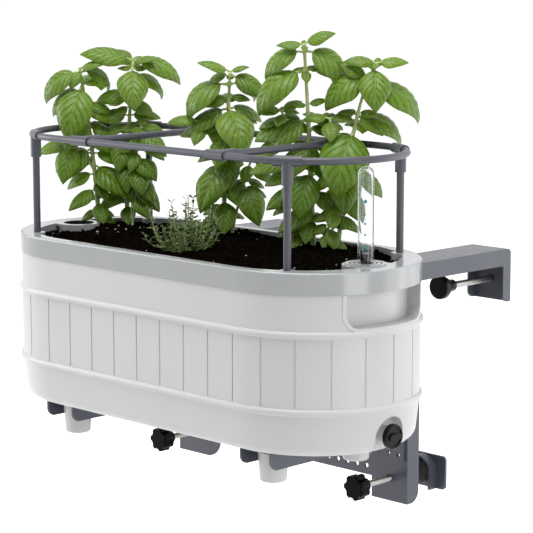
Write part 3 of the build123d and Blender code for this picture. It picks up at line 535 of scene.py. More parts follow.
@dataclass(frozen=True)
class LeafTissue:
    """Basil leaf: pale midrib, side veins with painted shade in their creases, a quilted blade with painted
    light on its pillows, and a lighter underside, partly its own paler green and partly painted light shining
    through.
    """

    name: str
    blade: tuple
    young: tuple
    vein: tuple
    # underside colour: partly the paler green of a basil underside, partly painted light shining through the
    # leaf
    under: tuple
    roughness: float = 0.28
    gloss: float = 0.3
    # scale of the noise that breaks up the painted shade in the creases
    crease_break_scale: float = 110.0
    patch_scale: float = 160.0
    gloss_scale: float = 420.0
    grain: float = 1600.0
    relief: float = 0.0008

    def material(self) -> bpy.types.Material:
        """Make the material.

        Returns:
            The new material.
        """
        sketch = ShaderSketch(self.name)
        place = sketch.split(sketch.attribute(LEAF_PLACE).outputs["Vector"])
        out = sketch.math(Sum.ABSOLUTE, place.outputs["X"])
        sweep = sketch.math(Sum.SUBTRACT, sketch.math(Sum.MULTIPLY, place.outputs["Y"], VEIN_PAIRS),
                            sketch.math(Sum.MULTIPLY, out, VEIN_SWEEP))
        between = sketch.math(Sum.PINGPONG, sweep, 0.5)
        side_vein = sketch.ramp(between, 0.0, 0.1, 1.0, 0.0)
        midrib = sketch.ramp(out, 0.015, 0.06, 1.0, 0.0)
        veins = sketch.math(Sum.MAXIMUM, midrib, side_vein)
        # painted shade in the side-vein creases, broken up by noise and fainter towards the edge
        crease_breakup = sketch.ramp(sketch.noise(self.crease_break_scale, 2.0), 0.38, 0.62, 0.08, 0.45)
        inward = sketch.ramp(out, 0.1, 0.95, 1.0, 0.3)
        crease = sketch.math(Sum.MULTIPLY, side_vein, sketch.math(Sum.MULTIPLY, crease_breakup, inward))
        # tint: partly the youth of the leaf, partly painted light from its height on the plant
        tint = sketch.attribute(LEAF_TINT).outputs["Fac"]
        blade = sketch.mix(tint, rgba(self.blade), rgba(self.young))
        patches = sketch.ramp(sketch.noise(self.patch_scale, 4.0), 0.3, 0.75, 0.0, 0.4)
        blade = sketch.mix(patches, blade, rgba(self.blade, 0.62))
        # painted light: the pillows between the veins are made lighter, with the young colour, as if lit
        quilt = sketch.ramp(between, 0.1, 0.5, 0.0, 0.35)
        blade = sketch.mix(quilt, blade, rgba(self.young, 0.9))
        # painted shade darkens the creases
        blade = sketch.mix(crease, blade, rgba(self.blade, 0.5))
        topside = sketch.mix(sketch.math(Sum.MULTIPLY, midrib, 0.45), blade, rgba(self.vein))
        underside = sketch.mix(sketch.math(Sum.MULTIPLY, veins, 0.4), rgba(self.under), rgba(self.vein))
        gloss = sketch.ramp(sketch.noise(self.gloss_scale, 3.0), 0.3, 0.7,
                            self.roughness - 0.07, self.roughness + 0.1)
        sketch.set(Base_Color=sketch.mix(place.outputs["Z"], topside, underside), Roughness=gloss)
        sketch.set(Subsurface_Weight=0.35, Subsurface_Radius=(0.6, 1.0, 0.2), Subsurface_Scale=0.004)
        sketch.set(Specular_IOR_Level=self.gloss)
        grain = sketch.math(Sum.MULTIPLY, sketch.noise(self.grain, 2.0), 0.3)
        sketch.bump(sketch.math(Sum.SUBTRACT, grain, veins), self.relief, 0.9)
        return sketch.material


@dataclass(frozen=True)
class StemTissue:
    """Green stem with fine ribs along it and paler patches."""

    name: str
    colour: tuple
    pale: tuple
    rib_scale: float = 900.0
    rib_stretch: tuple = (1.0, 1.0, 0.06)
    rib_depth: float = 0.00015
    patch_scale: float = 70.0

    def material(self) -> bpy.types.Material:
        """Make the material.

        Returns:
            The new material.
        """
        sketch = ShaderSketch(self.name)
        ribs = sketch.noise(self.rib_scale, 2.0, self.rib_stretch)
        patches = sketch.ramp(sketch.noise(self.patch_scale, 3.0), 0.3, 0.7, 0.0, 1.0)
        tone = sketch.mix(patches, rgba(self.colour), rgba(self.pale))
        sketch.set(Base_Color=tone, Roughness=sketch.ramp(ribs, 0.3, 0.7, 0.42, 0.6))
        sketch.set(Subsurface_Weight=0.15, Subsurface_Radius=(0.5, 0.9, 0.2), Subsurface_Scale=0.003)
        sketch.bump(ribs, self.rib_depth)
        return sketch.material


@dataclass(frozen=True)
class Grains:
    """Crumbly mineral or peat surface with damp and dry patches."""

    name: str
    damp: tuple
    dry: tuple
    fine: float
    relief: float
    gloss: float = 0.5

    def material(self) -> bpy.types.Material:
        """Make the material.

        Returns:
            The new material.
        """
        sketch = ShaderSketch(self.name)
        fibres = sketch.noise(self.fine, 6.0)
        patches = sketch.ramp(sketch.noise(self.fine / 6, 4.0), 0.35, 0.7, 0.0, 1.0)
        tone = sketch.mix(patches, rgba(self.damp), rgba(self.dry))
        tone = sketch.mix(fibres, tone, rgba(self.damp, 0.45))
        dull = sketch.ramp(patches, 0.0, 1.0, 0.7, 0.95)
        sketch.set(Base_Color=tone, Roughness=dull, Specular_IOR_Level=self.gloss)
        sketch.bump(sketch.math(Sum.ADD, fibres, sketch.cells(self.fine * 0.8)), self.relief)
        return sketch.material


LINER_GREY = (0.405, 0.418, 0.43)
SHELL_WHITE = MouldedPlastic("shell_white_plastic", (0.655, 0.658, 0.662), 0.33)
RIM_GREY = PortPlastic("rim_grey_plastic", LINER_GREY, 0.13, gloss=0.8, port=upright_axis("fill_tube"))
CAP_GREY = RingedPlastic("gauge_cap_plastic", LINER_GREY, 0.13, gloss=0.8, middle=upright_axis("gauge_cap"))
TRELLIS_GREY = MouldedPlastic("trellis_slate_plastic", (0.07, 0.07, 0.092), 0.36, 1800.0)
KNOB_BLACK = MouldedPlastic("black_nylon", (0.0022, 0.0022, 0.0026), 0.2, 1200.0, gloss=0.05)
PLUG_BLACK = MouldedPlastic("plug_black_plastic", (0.009, 0.009, 0.0098), 0.3, 1200.0, gloss=0.14)
FLOAT_FOAM = MouldedPlastic("float_foam", (0.72, 0.72, 0.68), 0.7, 700.0, 0.0003, 0.08)
MARK_TEAL = MouldedPlastic("gauge_mark_teal", (0.02, 0.3, 0.32), 0.4)
BRACKET_GREY = PowderCoat("bracket_powder_coat", (0.068, 0.074, 0.097), 0.33)
ZINC = ZincPlate("zinc_plate", (0.42, 0.42, 0.39), 0.4)
RUBBER_BLACK = Rubber("pad_rubber", (0.0055, 0.0055, 0.006))
CLEAR = ClearTube("gauge_clear", (0.97, 0.985, 0.985), (0.55, 0.6, 0.6), 80.0)
BASIL_LEAF = LeafTissue("basil_leaf", blade=(0.075, 0.17, 0.001), young=(0.2, 0.322, 0.04),
                        vein=(0.26, 0.38, 0.1), under=(0.17, 0.28, 0.01))
BASIL_STEM = StemTissue("basil_stem", (0.36, 0.48, 0.13), (0.58, 0.65, 0.28))
THYME_STEM = StemTissue("thyme_stem", (0.28, 0.34, 0.09), (0.45, 0.5, 0.2))
THYME_LEAF = StemTissue("thyme_leaf", (0.02, 0.046, 0.008), (0.1, 0.155, 0.042))
SOIL_DARK = Grains("potting_soil", (0.003, 0.0023, 0.0016), (0.011, 0.008, 0.0055), 900.0, 0.0009, 0.0)
CRUMB = Grains("soil_crumb", (0.004, 0.003, 0.002), (0.02, 0.0135, 0.009), 1400.0, 0.0004, 0.0)
PERLITE = Grains("perlite", (0.62, 0.6, 0.56), (0.8, 0.79, 0.76), 1800.0, 0.0003)

SLOT_FINISH = {
    "shell_white": SHELL_WHITE,
    "rim_grey": RIM_GREY,
    "trellis_grey": TRELLIS_GREY,
    "plug_black": KNOB_BLACK,
    "rubber_black": RUBBER_BLACK,
    "float_foam": FLOAT_FOAM,
    "bracket_grey": BRACKET_GREY,
    "zinc": ZINC,
    "clear_plastic": CLEAR,
}
NODE_FINISH = {"gauge_cap": CAP_GREY, "drain_plug": PLUG_BLACK}


def mount(mesh: bpy.types.Mesh, finish: Finish, body: str) -> bpy.types.Object:
    """Dress a mesh, make a piece of it and put it on its body.

    Args:
        mesh: the mesh, whose name the piece takes.
        finish: what makes its material.
        body: the body that carries it.

    Returns:
        The new piece.
    """
    mesh.shade_smooth()
    mesh.materials.append(finish.material())
    piece = bpy.data.objects.new(mesh.name, mesh)
    bpy.context.scene.collection.objects.link(piece)
    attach(piece, body)
    log.info("%s: %d points on %s", mesh.name, len(mesh.vertices), body)
    return piece


def band(start: int, sides: int) -> list[tuple]:
    """Faces between two rings of points, the second counted on from the first.

    Args:
        start: number of the first ring's first point.
        sides: points in a ring.

    Returns:
        The faces.
    """
    pairs = [(start + side, start + (side + 1) % sides) for side in range(sides)]
    return [(here, after, sides + after, sides + here) for here, after in pairs]


class MeshSketch:
    """Gathers points, faces and values per point, then makes one piece of them."""

    def __init__(self) -> None:
        """Start empty."""
        self.points: list[np.ndarray] = []
        self.faces: list[tuple] = []
        self.values: dict[str, list[np.ndarray]] = {}
        self.count = 0

    def add(self, points: np.ndarray, faces: list, **values: np.ndarray) -> None:
        """Add a closed form.

        Args:
            points: places of its points, in metres.
            faces: tuples of point numbers, counted from its own first point.
            values: values per point, by attribute name.
        """
        self.faces += [tuple(self.count + number for number in face) for face in faces]
        self.points.append(np.asarray(points, float))
        for name, value in values.items():
            self.values.setdefault(name, []).append(np.asarray(value, float))
        self.count += len(points)

    def tube(self, path: np.ndarray, radii: np.ndarray, sides: int) -> None:
        """Add a closed tube along a path.

        Args:
            path: its middle line, in metres.
            radii: its radius at each point of the path.
            sides: points round it.
        """
        path = np.asarray(path, float)
        along = np.gradient(path, axis=0)
        along /= np.linalg.norm(along, axis=1)[:, None]
        helper = np.array((1.0, 0.0, 0.0)) if abs(along[0][0]) < 0.8 else np.array((0.0, 1.0, 0.0))
        first = np.cross(along, helper)
        first /= np.linalg.norm(first, axis=1)[:, None]
        second = np.cross(along, first)
        angles = np.linspace(0, FULL_TURN, sides, endpoint=False)
        ring = (np.cos(angles)[None, :, None] * first[:, None, :]
                + np.sin(angles)[None, :, None] * second[:, None, :])
        points = path[:, None, :] + ring * np.asarray(radii, float)[:, None, None]
        last = (len(path) - 1) * sides
        faces = [tuple(range(sides)), tuple(last + number for number in reversed(range(sides)))]
        for row in range(len(path) - 1):
            faces += [(b, a, d, c) for a, b, c, d in band(row * sides, sides)]
        self.add(points.reshape(-1, 3), faces)

    def build(self, name: str, finish: Finish, body: str) -> bpy.types.Object:
        """Make the piece, with its finish, on its body.

        Args:
            name: name of the piece.
            finish: what makes its material.
            body: the body that carries it.

        Returns:
            The new piece.
        """
        mesh = bpy.data.meshes.new(name)
        mesh.from_pydata(np.concatenate(self.points).tolist(), [], self.faces)
        for attribute, parts in self.values.items():
            value = np.concatenate(parts)
            kind, key = ("FLOAT_VECTOR", "vector") if value.ndim == 2 else ("FLOAT", "value")
            store = mesh.attributes.new(attribute, kind, "POINT")
            store.data.foreach_set(key, value.astype(np.float32).ravel())
        mesh.validate()
        work = bmesh.new()
        work.from_mesh(mesh)
        bmesh.ops.recalc_face_normals(work, faces=work.faces)
        work.to_mesh(mesh)
        work.free()
        return mount(mesh, finish, body)


@dataclass
class CadDress:
    """Gives every CAD node that stays in view its own finish, or that of its material slot."""

    record: dict
    nodes: dict

    def dress(self) -> None:
        """Put the finishes on."""
        made = {slot: finish.material() for slot, finish in SLOT_FINISH.items()}
        own = {node: finish.material() for node, finish in NODE_FINISH.items()}
        for row in self.record["subparts"]:
            material = own.get(row["node"], made.get(row["material_slot"]))
            if material is None:
                continue
            mesh = self.nodes[row["node"]].data
            mesh.materials.clear()
            mesh.materials.append(material)
            log.info("%s: %s", row["node"], material.name)


@dataclass
class ThreadedRod:
    """Clamp screw with its rolled thread, in place of a plain rod."""

    node: str
    body: str
    pitch: float = 0.00125
    depth: float = 0.00062
    sides: int = 20
    rows_a_turn: int = 4

    def build(self) -> bpy.types.Object:
        """Roll the thread along the node's length.

        Returns:
            The new piece.
        """
        low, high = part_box(self.node)
        major = half_size(self.node, 0)
        middle = (low + high) / 2
        rows = int((high.y - low.y) / self.pitch * self.rows_a_turn)
        ys = np.linspace(low.y, high.y, rows + 1)
        angles = np.linspace(0, FULL_TURN, self.sides, endpoint=False)
        phase = ys[:, None] / self.pitch - angles[None, :] / FULL_TURN
        tooth = np.abs((phase % 1.0) * 2 - 1)
        radius = major - self.depth * (1 - tooth)
        radius[:2] = radius[-2:] = major - self.depth
        points = np.stack((middle.x + radius * np.cos(angles), np.repeat(ys[:, None], self.sides, 1),
                           middle.z + radius * np.sin(angles)), -1)
        faces = [tuple(range(self.sides)), tuple(rows * self.sides + side for side in range(self.sides))]
        for row in range(rows):
            faces += band(row * self.sides, self.sides)
        sketch = MeshSketch()
        sketch.add(points.reshape(-1, 3), faces)
        piece = sketch.build(self.node + "_thread", ZINC, self.body)
        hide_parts(self.node)
        return piece


@dataclass
class GaugeMarks:
    """Level dots printed on the clear tube, each (height above the soil, radius) in metres."""

    dots: tuple = ((0.077, 0.0019), (0.053, 0.0012), (0.041, 0.0012), (0.027, 0.0019))
    heading: float = -52.0
    proud: float = 0.00012
    sides: int = 16

    def build(self) -> bpy.types.Object:
        """Wrap each dot on the tube.

        Returns:
            The new piece.
        """
        low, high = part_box("gauge_tube")
        middle = (low + high) / 2
        radius = half_size("gauge_tube", 0)
        sketch = MeshSketch()
        for height, size in self.dots:
            points = []
            for lift in (-self.proud, self.proud):
                for number in range(self.sides):
                    turn = FULL_TURN * number / self.sides
                    heading = math.radians(self.heading) + size * math.cos(turn) / radius
                    points.append((middle.x + (radius + lift) * math.cos(heading),
                                   middle.y + (radius + lift) * math.sin(heading),
                                   SOIL_TOP + height + size * math.sin(turn)))
            faces = [tuple(range(self.sides)), tuple(range(self.sides, 2 * self.sides))]
            sketch.add(np.array(points), faces + band(0, self.sides))
        return sketch.build("gauge_marks", MARK_TEAL, LINER_BODY)


@dataclass
class PottingSoil:
    """Mounded potting soil with crumbs and perlite; a mound is (x, y, rise, spread) in mm."""

    mounds: tuple = ((-215.0, 45.0, 5.0, 60.0), (-48.0, 62.0, 8.0, 70.0), (108.0, 60.0, 8.0, 75.0),
                     (-5.0, -30.0, 3.0, 60.0), (190.0, -20.0, 3.0, 60.0))
    mound_waist: float = 0.6
    coarse_scale: float = 30.0
    coarse_rise: float = 0.0018
    fine_scale: float = 190.0
    fine_rise: float = 0.0012
    rings: int = 30
    ring_crowd: float = 0.8
    around: int = 260
    depth: float = 0.06
    weld: float = 0.0002
    port_clear: float = 0.0208
    grain_clear: float = 0.0275
    grain_reach: float = 0.975
    crumbs: int = 1500
    perlite_grains: int = 55
    seed: int = 5
    rng: random.Random = field(init=False)
    round: float = field(init=False)
    straight: float = field(init=False)
    port_x: float = field(init=False)

    def __post_init__(self) -> None:
        """Read the basin's plan from the frame."""
        self.rng = random.Random(self.seed)
        self.round = half_size("soil", 1)
        self.straight = half_size("soil", 0) - self.round
        self.port_x = upright_axis("gauge_tube")[0] - MIDDLE.x

    def height(self, x: float, y: float) -> float:
        """Height of the surface at a place.

        Args:
            x: metres from the planter's middle along it.
            y: metres from the planter's middle across it.

        Returns:
            The height in the row frame, in metres.
        """
        top = SOIL_TOP
        for mound_x, mound_y, rise, spread in self.mounds:
            away = (x / MM - mound_x) ** 2 + (y / MM - mound_y) ** 2
            top += rise * MM * math.exp(-(away / (2 * (spread * self.mound_waist) ** 2)))
        coarse = noise.fractal(Vector((x * self.coarse_scale, y * self.coarse_scale, 0.3)), 0.9, 2.1, 4)
        fine = noise.fractal(Vector((x * self.fine_scale, y * self.fine_scale, 1.7)), 0.8, 2.0, 3)
        return top + self.coarse_rise * coarse + self.fine_rise * fine

    def inside(self, share: float, turn: float) -> tuple[float, float]:
        """Place in the stadium plan.

        Args:
            share: share of the way out from its spine.
            turn: turn round it, from 0 to 1.

        Returns:
            The place (x, y) from the planter's middle, in metres.
        """
        arc = math.pi * self.round
        travel = turn * (2 * arc + 4 * self.straight)
        half, along = divmod(travel, arc + 2 * self.straight)
        sign = 1 - 2 * half
        if along < arc:
            angle = along / self.round - math.pi / 2
            x = self.straight + share * self.round * math.cos(angle)
            y = share * self.round * math.sin(angle)
        else:
            x = self.straight - (along - arc)
            y = share * self.round
        return sign * x, sign * y

    def open_ground(self, x: float, y: float, clear: float) -> bool:
        """True where a place is off both ports."""
        return math.hypot(abs(x) - self.port_x, y) > clear

    def build_bed(self) -> bpy.types.Object:
        """The soil itself: its surface carried down to a flat underside.

        Returns:
            The new piece.
        """
        work = bmesh.new()
        grid = []
        for ring in range(self.rings + 1):
            share = (ring / self.rings) ** self.ring_crowd
            row = []
            for step in range(self.around):
                x, y = self.inside(share, step / self.around)
                row.append(work.verts.new((MIDDLE.x + x, MIDDLE.y + y, self.height(x, y))))
            grid.append(row)
        for inner, outer in zip(grid, grid[1:]):
            for step in range(self.around):
                after = (step + 1) % self.around
                corners = (inner[step], inner[after], outer[after], outer[step])
                places = [(v.co.x - MIDDLE.x, v.co.y - MIDDLE.y) for v in corners]
                if all(self.open_ground(x, y, self.port_clear) for x, y in places):
                    work.faces.new(corners)
        bmesh.ops.remove_doubles(work, verts=work.verts, dist=self.weld)
        bmesh.ops.delete(work, geom=[v for v in work.verts if not v.link_faces], context="VERTS")
        walls = bmesh.ops.extrude_face_region(work, geom=work.faces[:])
        for item in walls["geom"]:
            if isinstance(item, bmesh.types.BMVert):
                item.co.z = SOIL_TOP - self.depth
        bmesh.ops.recalc_face_normals(work, faces=work.faces)
        mesh = bpy.data.meshes.new("soil_bed")
        work.to_mesh(mesh)
        work.free()
        piece = mount(mesh, SOIL_DARK, LINER_BODY)
        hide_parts("soil")
        return piece

    def scatter(self, name: str, finish: Finish, count: int, sizes: tuple, squat: float) -> bpy.types.Object:
        """Rough grains strewn over the bed.

        Args:
            name: name of the piece.
            finish: what makes its material.
            count: number of grains.
            sizes: least and largest radius, in metres.
            squat: height of a grain as a share of its width.

        Returns:
            The new piece.
        """
        ball = bmesh.new()
        bmesh.ops.create_icosphere(ball, subdivisions=1, radius=1.0)
        ball.verts.index_update()
        form = np.array([v.co for v in ball.verts])
        faces = [tuple(v.index for v in f.verts) for f in ball.faces]
        ball.free()
        sketch = MeshSketch()
        while sketch.count < count * len(form):
            x, y = self.inside(math.sqrt(self.rng.random()) * self.grain_reach, self.rng.random())
            if not self.open_ground(x, y, self.grain_clear):
                continue
            size = sizes[0] + (sizes[1] - sizes[0]) * self.rng.random() ** 2.5
            lumps = np.array([self.rng.uniform(0.65, 1.25) for _ in form])
            grain = form * lumps[:, None] * np.array((1.0, self.rng.uniform(0.6, 1.0), squat)) * size
            turn = self.rng.uniform(0, math.pi)
            cosine, sine = math.cos(turn), math.sin(turn)
            spin = np.array(((cosine, -sine, 0), (sine, cosine, 0), (0, 0, 1)))
            place = (MIDDLE.x + x, MIDDLE.y + y, self.height(x, y) + size * squat * 0.35)
            sketch.add(grain @ spin.T + np.array(place), faces)
        piece = sketch.build(name, finish, LINER_BODY)
        return piece

    def build(self) -> None:
        """Bed, crumbs and perlite."""
        self.build_bed()
        self.scatter("soil_crumbs", CRUMB, self.crumbs, (0.0007, 0.0036), 0.7)
        self.scatter("soil_perlite", PERLITE, self.perlite_grains, (0.0006, 0.0019), 0.85)


@dataclass
class KeepClear:
    """Where leaves may grow: off the ring, bars, posts and gauge of the frame, and out of the soil."""

    margin: float = 0.003
    post_room: float = 0.002
    soil_past_ring: float = 0.02
    ring_z: float = field(init=False)
    ring_r: float = field(init=False)
    ring_end: float = field(init=False)
    sleeve: float = field(init=False)
    post: tuple = field(init=False)
    post_r: float = field(init=False)
    bar_x: float = field(init=False)
    gauge_x: float = field(init=False)
    gauge_r: float = field(init=False)
    gauge_top: float = field(init=False)

    def __post_init__(self) -> None:
        """Read the trellis and the gauge from the frame."""
        end_low, end_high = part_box("ring_tube_right")
        tube = half_size("ring_tube_right", 2)
        self.ring_z = (end_low.z + end_high.z) / 2
        self.ring_r = MIDDLE.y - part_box("ring_tube_front")[0].y - tube
        self.ring_end = end_high.x - tube - self.ring_r - MIDDLE.x
        self.sleeve = half_size("bar_clips_right", 2)
        post_x, post_y = upright_axis("post_front_right")
        self.post = (post_x - MIDDLE.x, MIDDLE.y - post_y)
        self.post_r = half_size("post_front_right", 0) + self.post_room
        self.bar_x = upright_axis("cross_bar_right")[0] - MIDDLE.x
        self.gauge_x = upright_axis("gauge_tube")[0] - MIDDLE.x
        self.gauge_r = half_size("gauge_tube", 0)
        self.gauge_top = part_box("gauge_tube")[1].z

    def free(self, points: np.ndarray) -> bool:
        """True if no point is near the frame or in the soil.

        Args:
            points: places to test, in metres.

        Returns:
            Whether all of them are free.
        """
        right = points[:, 0] - MIDDLE.x
        x = np.abs(right)
        y = np.abs(points[:, 1] - MIDDLE.y)
        z = points[:, 2]
        beyond = np.maximum(x - self.ring_end, 0.0)
        from_ring = np.hypot(beyond, y) - self.ring_r
        ring = np.hypot(from_ring, z - self.ring_z) - self.sleeve
        bar = np.where(from_ring < 0, np.hypot(x - self.bar_x, z - self.ring_z) - self.sleeve, ring)
        post = np.where(z < self.ring_z, np.hypot(x - self.post[0], y - self.post[1]) - self.post_r, ring)
        gauge = np.where(z < self.gauge_top + self.margin,
                         np.hypot(right - self.gauge_x, y) - self.gauge_r, ring)
        low = np.where(from_ring < self.soil_past_ring, z - SOIL_TOP, ring)
        return bool(np.min(np.stack((ring, bar, post, gauge, low))) > self.margin)


@dataclass(frozen=True)
class Leaves:
    """Opposite leaves at one joint of a stem: height and lengths in mm, the angles in degrees."""

    height: float
    heading: float
    length: float
    opposite: float
    rise: float
    droop: float


@dataclass(frozen=True)
class Stem:
    """Stem through three places, each (x, y, height above the soil's flat) in mm, with its leaves."""

    path: tuple
    leaves: tuple
    girth: float = 2.9


def rows(*numbers: tuple) -> tuple:
    """Leaves from plain rows."""
    return tuple(Leaves(*row) for row in numbers)


BASIL_LEFT = (
    Stem(((-234, 30, -4), (-240, 24, 99), (-250, 14, 198)), rows(
        (196, 35, 30, 0, 45, 15), (194, 290, 24, 0, 0, 70), (192, 240, 58, 50, 10, 98),
        (180, 40, 16, 14, 10, 40), (176, 290, 70, 55, 8, 85), (170, 232, 50, 0, 0, 85),
        (146, 20, 28, 30, 10, 60), (130, 270, 30, 26, 0, 70), (112, 228, 46, 40, 10, 60),
        (98, 262, 46, 44, 0, 85), (92, 222, 44, 40, 10, 55), (78, 5, 55, 36, 5, 65),
        (66, 228, 38, 34, 5, 65), (48, 262, 38, 30, 5, 60), (32, 330, 30, 26, 5, 55),
        (20, 235, 22, 20, 0, 60), (14, 10, 20, 18, 10, 50), (42, 40, 24, 0, 10, 60),
        (58, 345, 26, 0, 5, 65), (152, 40, 30, 0, 10, 55), (126, 30, 34, 0, 5, 65),
        (116, 5, 30, 0, 0, 60))),
    Stem(((-212, 56, -4), (-210, 58, 107), (-205, 63, 205)), rows(
        (206, 20, 30, 24, 42, 10), (206, 222, 56, 0, 32, 20), (206, 42, 62, 0, 16, 75),
        (196, 225, 16, 16, 20, 20), (198, 318, 54, 54, 5, 75), (186, 60, 52, 0, 0, 88),
        (160, 225, 42, 0, 35, 55), (158, 15, 32, 34, 0, 60), (138, 228, 36, 34, 25, 45),
        (114, 300, 44, 40, 0, 75), (90, 315, 46, 40, 0, 75), (70, 345, 52, 40, 0, 85),
        (66, 50, 38, 36, 10, 80), (44, 240, 38, 30, 0, 65), (28, 320, 26, 24, 0, 55),
        (150, 250, 28, 0, 0, 60), (34, 215, 22, 0, 0, 60), (128, 236, 34, 0, 5, 60),
        (106, 222, 30, 0, 0, 65), (132, 350, 30, 0, 5, 65))),
    Stem(((-196, 50, -4), (-194, 52, 60), (-188, 58, 124)), rows(
        (126, 300, 20, 18, 40, 30), (122, 0, 42, 36, 5, 60), (118, 290, 22, 20, 0, 60),
        (104, 60, 24, 24, 10, 50), (78, 330, 36, 30, 0, 70), (53, 30, 30, 30, 0, 60),
        (88, 356, 36, 0, 10, 70), (64, 354, 38, 0, 5, 75), (42, 350, 34, 0, 5, 70),
        (108, 30, 36, 0, 0, 70), (58, 10, 44, 0, 0, 85), (126, 225, 22, 0, 15, 30),
        (124, 45, 24, 0, 25, 40), (96, 300, 26, 0, 0, 70)), 2.2),
    Stem(((-238, 26, 70), (-246, 18, 88), (-256, 8, 104)), rows(
        (104, 225, 42, 0, 10, 50), (103, 300, 48, 0, 5, 85), (88, 225, 40, 0, 0, 60)), 1.7),
)
BASIL_MIDDLE = (
    Stem(((-50, 64, -4), (-46, 68, 107), (-43, 71, 199)), rows(
        (199, 225, 34, 20, 40, 10), (194, 30, 46, 30, 8, 70), (188, 310, 14, 14, 30, 30),
        (184, 236, 72, 44, 18, 105), (168, 60, 24, 28, 15, 45), (157, 330, 66, 50, 18, 78),
        (156, 240, 54, 44, 0, 65), (126, 300, 44, 40, 10, 75), (108, 228, 34, 34, 0, 55),
        (104, 318, 44, 36, 0, 85), (92, 285, 62, 40, 5, 85), (66, 40, 34, 34, 0, 65),
        (48, 315, 40, 34, 0, 70), (30, 250, 30, 28, 0, 60), (142, 228, 36, 0, 5, 60),
        (146, 45, 34, 0, 10, 55), (132, 15, 30, 0, 0, 65), (84, 225, 34, 0, 0, 60),
        (78, 335, 36, 0, 0, 75), (40, 222, 26, 0, 0, 60))),
    Stem(((-40, 68, -4), (-31, 77, 55), (-21, 87, 100)), rows(
        (102, 45, 24, 20, 30, 40), (90, 300, 26, 24, 10, 60), (70, 240, 28, 26, 0, 60),
        (66, 338, 48, 34, 0, 85), (62, 45, 28, 24, 0, 55), (96, 25, 34, 0, 15, 55),
        (84, 40, 32, 0, 5, 65), (56, 5, 30, 0, 0, 65), (42, 45, 26, 0, 0, 60)), 1.9),
    Stem(((-47, 67, 80), (-56, 58, 112), (-69, 45, 140)), rows(
        (142, 225, 34, 26, 30, 40), (136, 300, 28, 26, 10, 60), (130, 210, 30, 30, 0, 50)), 1.8),
)
BASIL_RIGHT = (
    Stem(((100, 64, -4), (97, 61, 110), (92, 56, 236)), rows(
        (238, 222, 26, 0, 15, 20), (238, 52, 32, 0, 45, 10), (236, 320, 12, 10, 20, 40),
        (228, 222, 56, 0, 5, 85), (229, 30, 60, 0, 8, 85), (210, 235, 16, 16, 10, 50),
        (208, 320, 16, 14, 0, 60), (206, 250, 72, 58, 16, 100), (168, 60, 20, 18, 30, 20),
        (152, 290, 48, 40, 0, 78), (150, 222, 60, 44, 5, 60), (120, 240, 34, 34, 0, 60),
        (94, 300, 54, 44, 0, 85), (88, 252, 42, 40, 0, 75), (70, 20, 40, 36, 0, 75),
        (58, 275, 40, 34, 0, 75), (40, 300, 30, 26, 0, 65), (30, 220, 26, 24, 0, 60),
        (138, 40, 34, 0, 5, 60), (126, 330, 38, 0, 0, 75), (112, 30, 32, 0, 0, 65)), 3.3),
    Stem(((128, 74, -4), (141, 86, 138), (159, 104, 216)), rows(
        (218, 222, 32, 30, 25, 25), (216, 300, 12, 11, 25, 40), (212, 315, 50, 36, 5, 82),
        (190, 42, 76, 0, 12, 90), (199, 240, 58, 0, 12, 85), (196, 195, 34, 0, 45, 20),
        (160, 215, 20, 20, 20, 30), (158, 10, 32, 30, 0, 60), (156, 50, 64, 0, 5, 80),
        (142, 298, 76, 50, 5, 85), (92, 42, 50, 44, 5, 80), (96, 310, 48, 40, 0, 80),
        (70, 350, 36, 34, 0, 80), (54, 60, 30, 30, 0, 65))),
    Stem(((88, 56, -4), (82, 50, 98), (72, 40, 161)), rows(
        (163, 225, 22, 18, 20, 40), (162, 60, 22, 18, 45, 10), (158, 300, 20, 18, 20, 50),
        (152, 215, 30, 30, 0, 60), (126, 222, 40, 34, 0, 55), (104, 225, 46, 36, 10, 50),
        (70, 240, 36, 34, 0, 65), (90, 225, 34, 0, 5, 60), (84, 300, 34, 0, 0, 75),
        (56, 225, 30, 0, 0, 60), (44, 262, 28, 0, 0, 65), (30, 240, 24, 22, 5, 60),
        (22, 300, 22, 20, 5, 60)), 2.2),
    Stem(((120, 62, -4), (122, 64, 24), (126, 68, 48)), rows(
        (48, 315, 24, 22, 20, 60), (42, 30, 34, 28, 15, 70), (34, 240, 22, 20, 0, 60),
        (24, 300, 18, 16, 0, 55), (30, 330, 26, 0, 5, 65), (20, 350, 24, 0, 5, 60)), 1.8),
    Stem(((135, 81, 108), (129, 75, 130), (121, 67, 154)), rows(
        (156, 225, 26, 24, 25, 35), (152, 315, 28, 26, 10, 60), (138, 45, 30, 30, 5, 60),
        (134, 225, 34, 30, 0, 55)), 1.8),
)


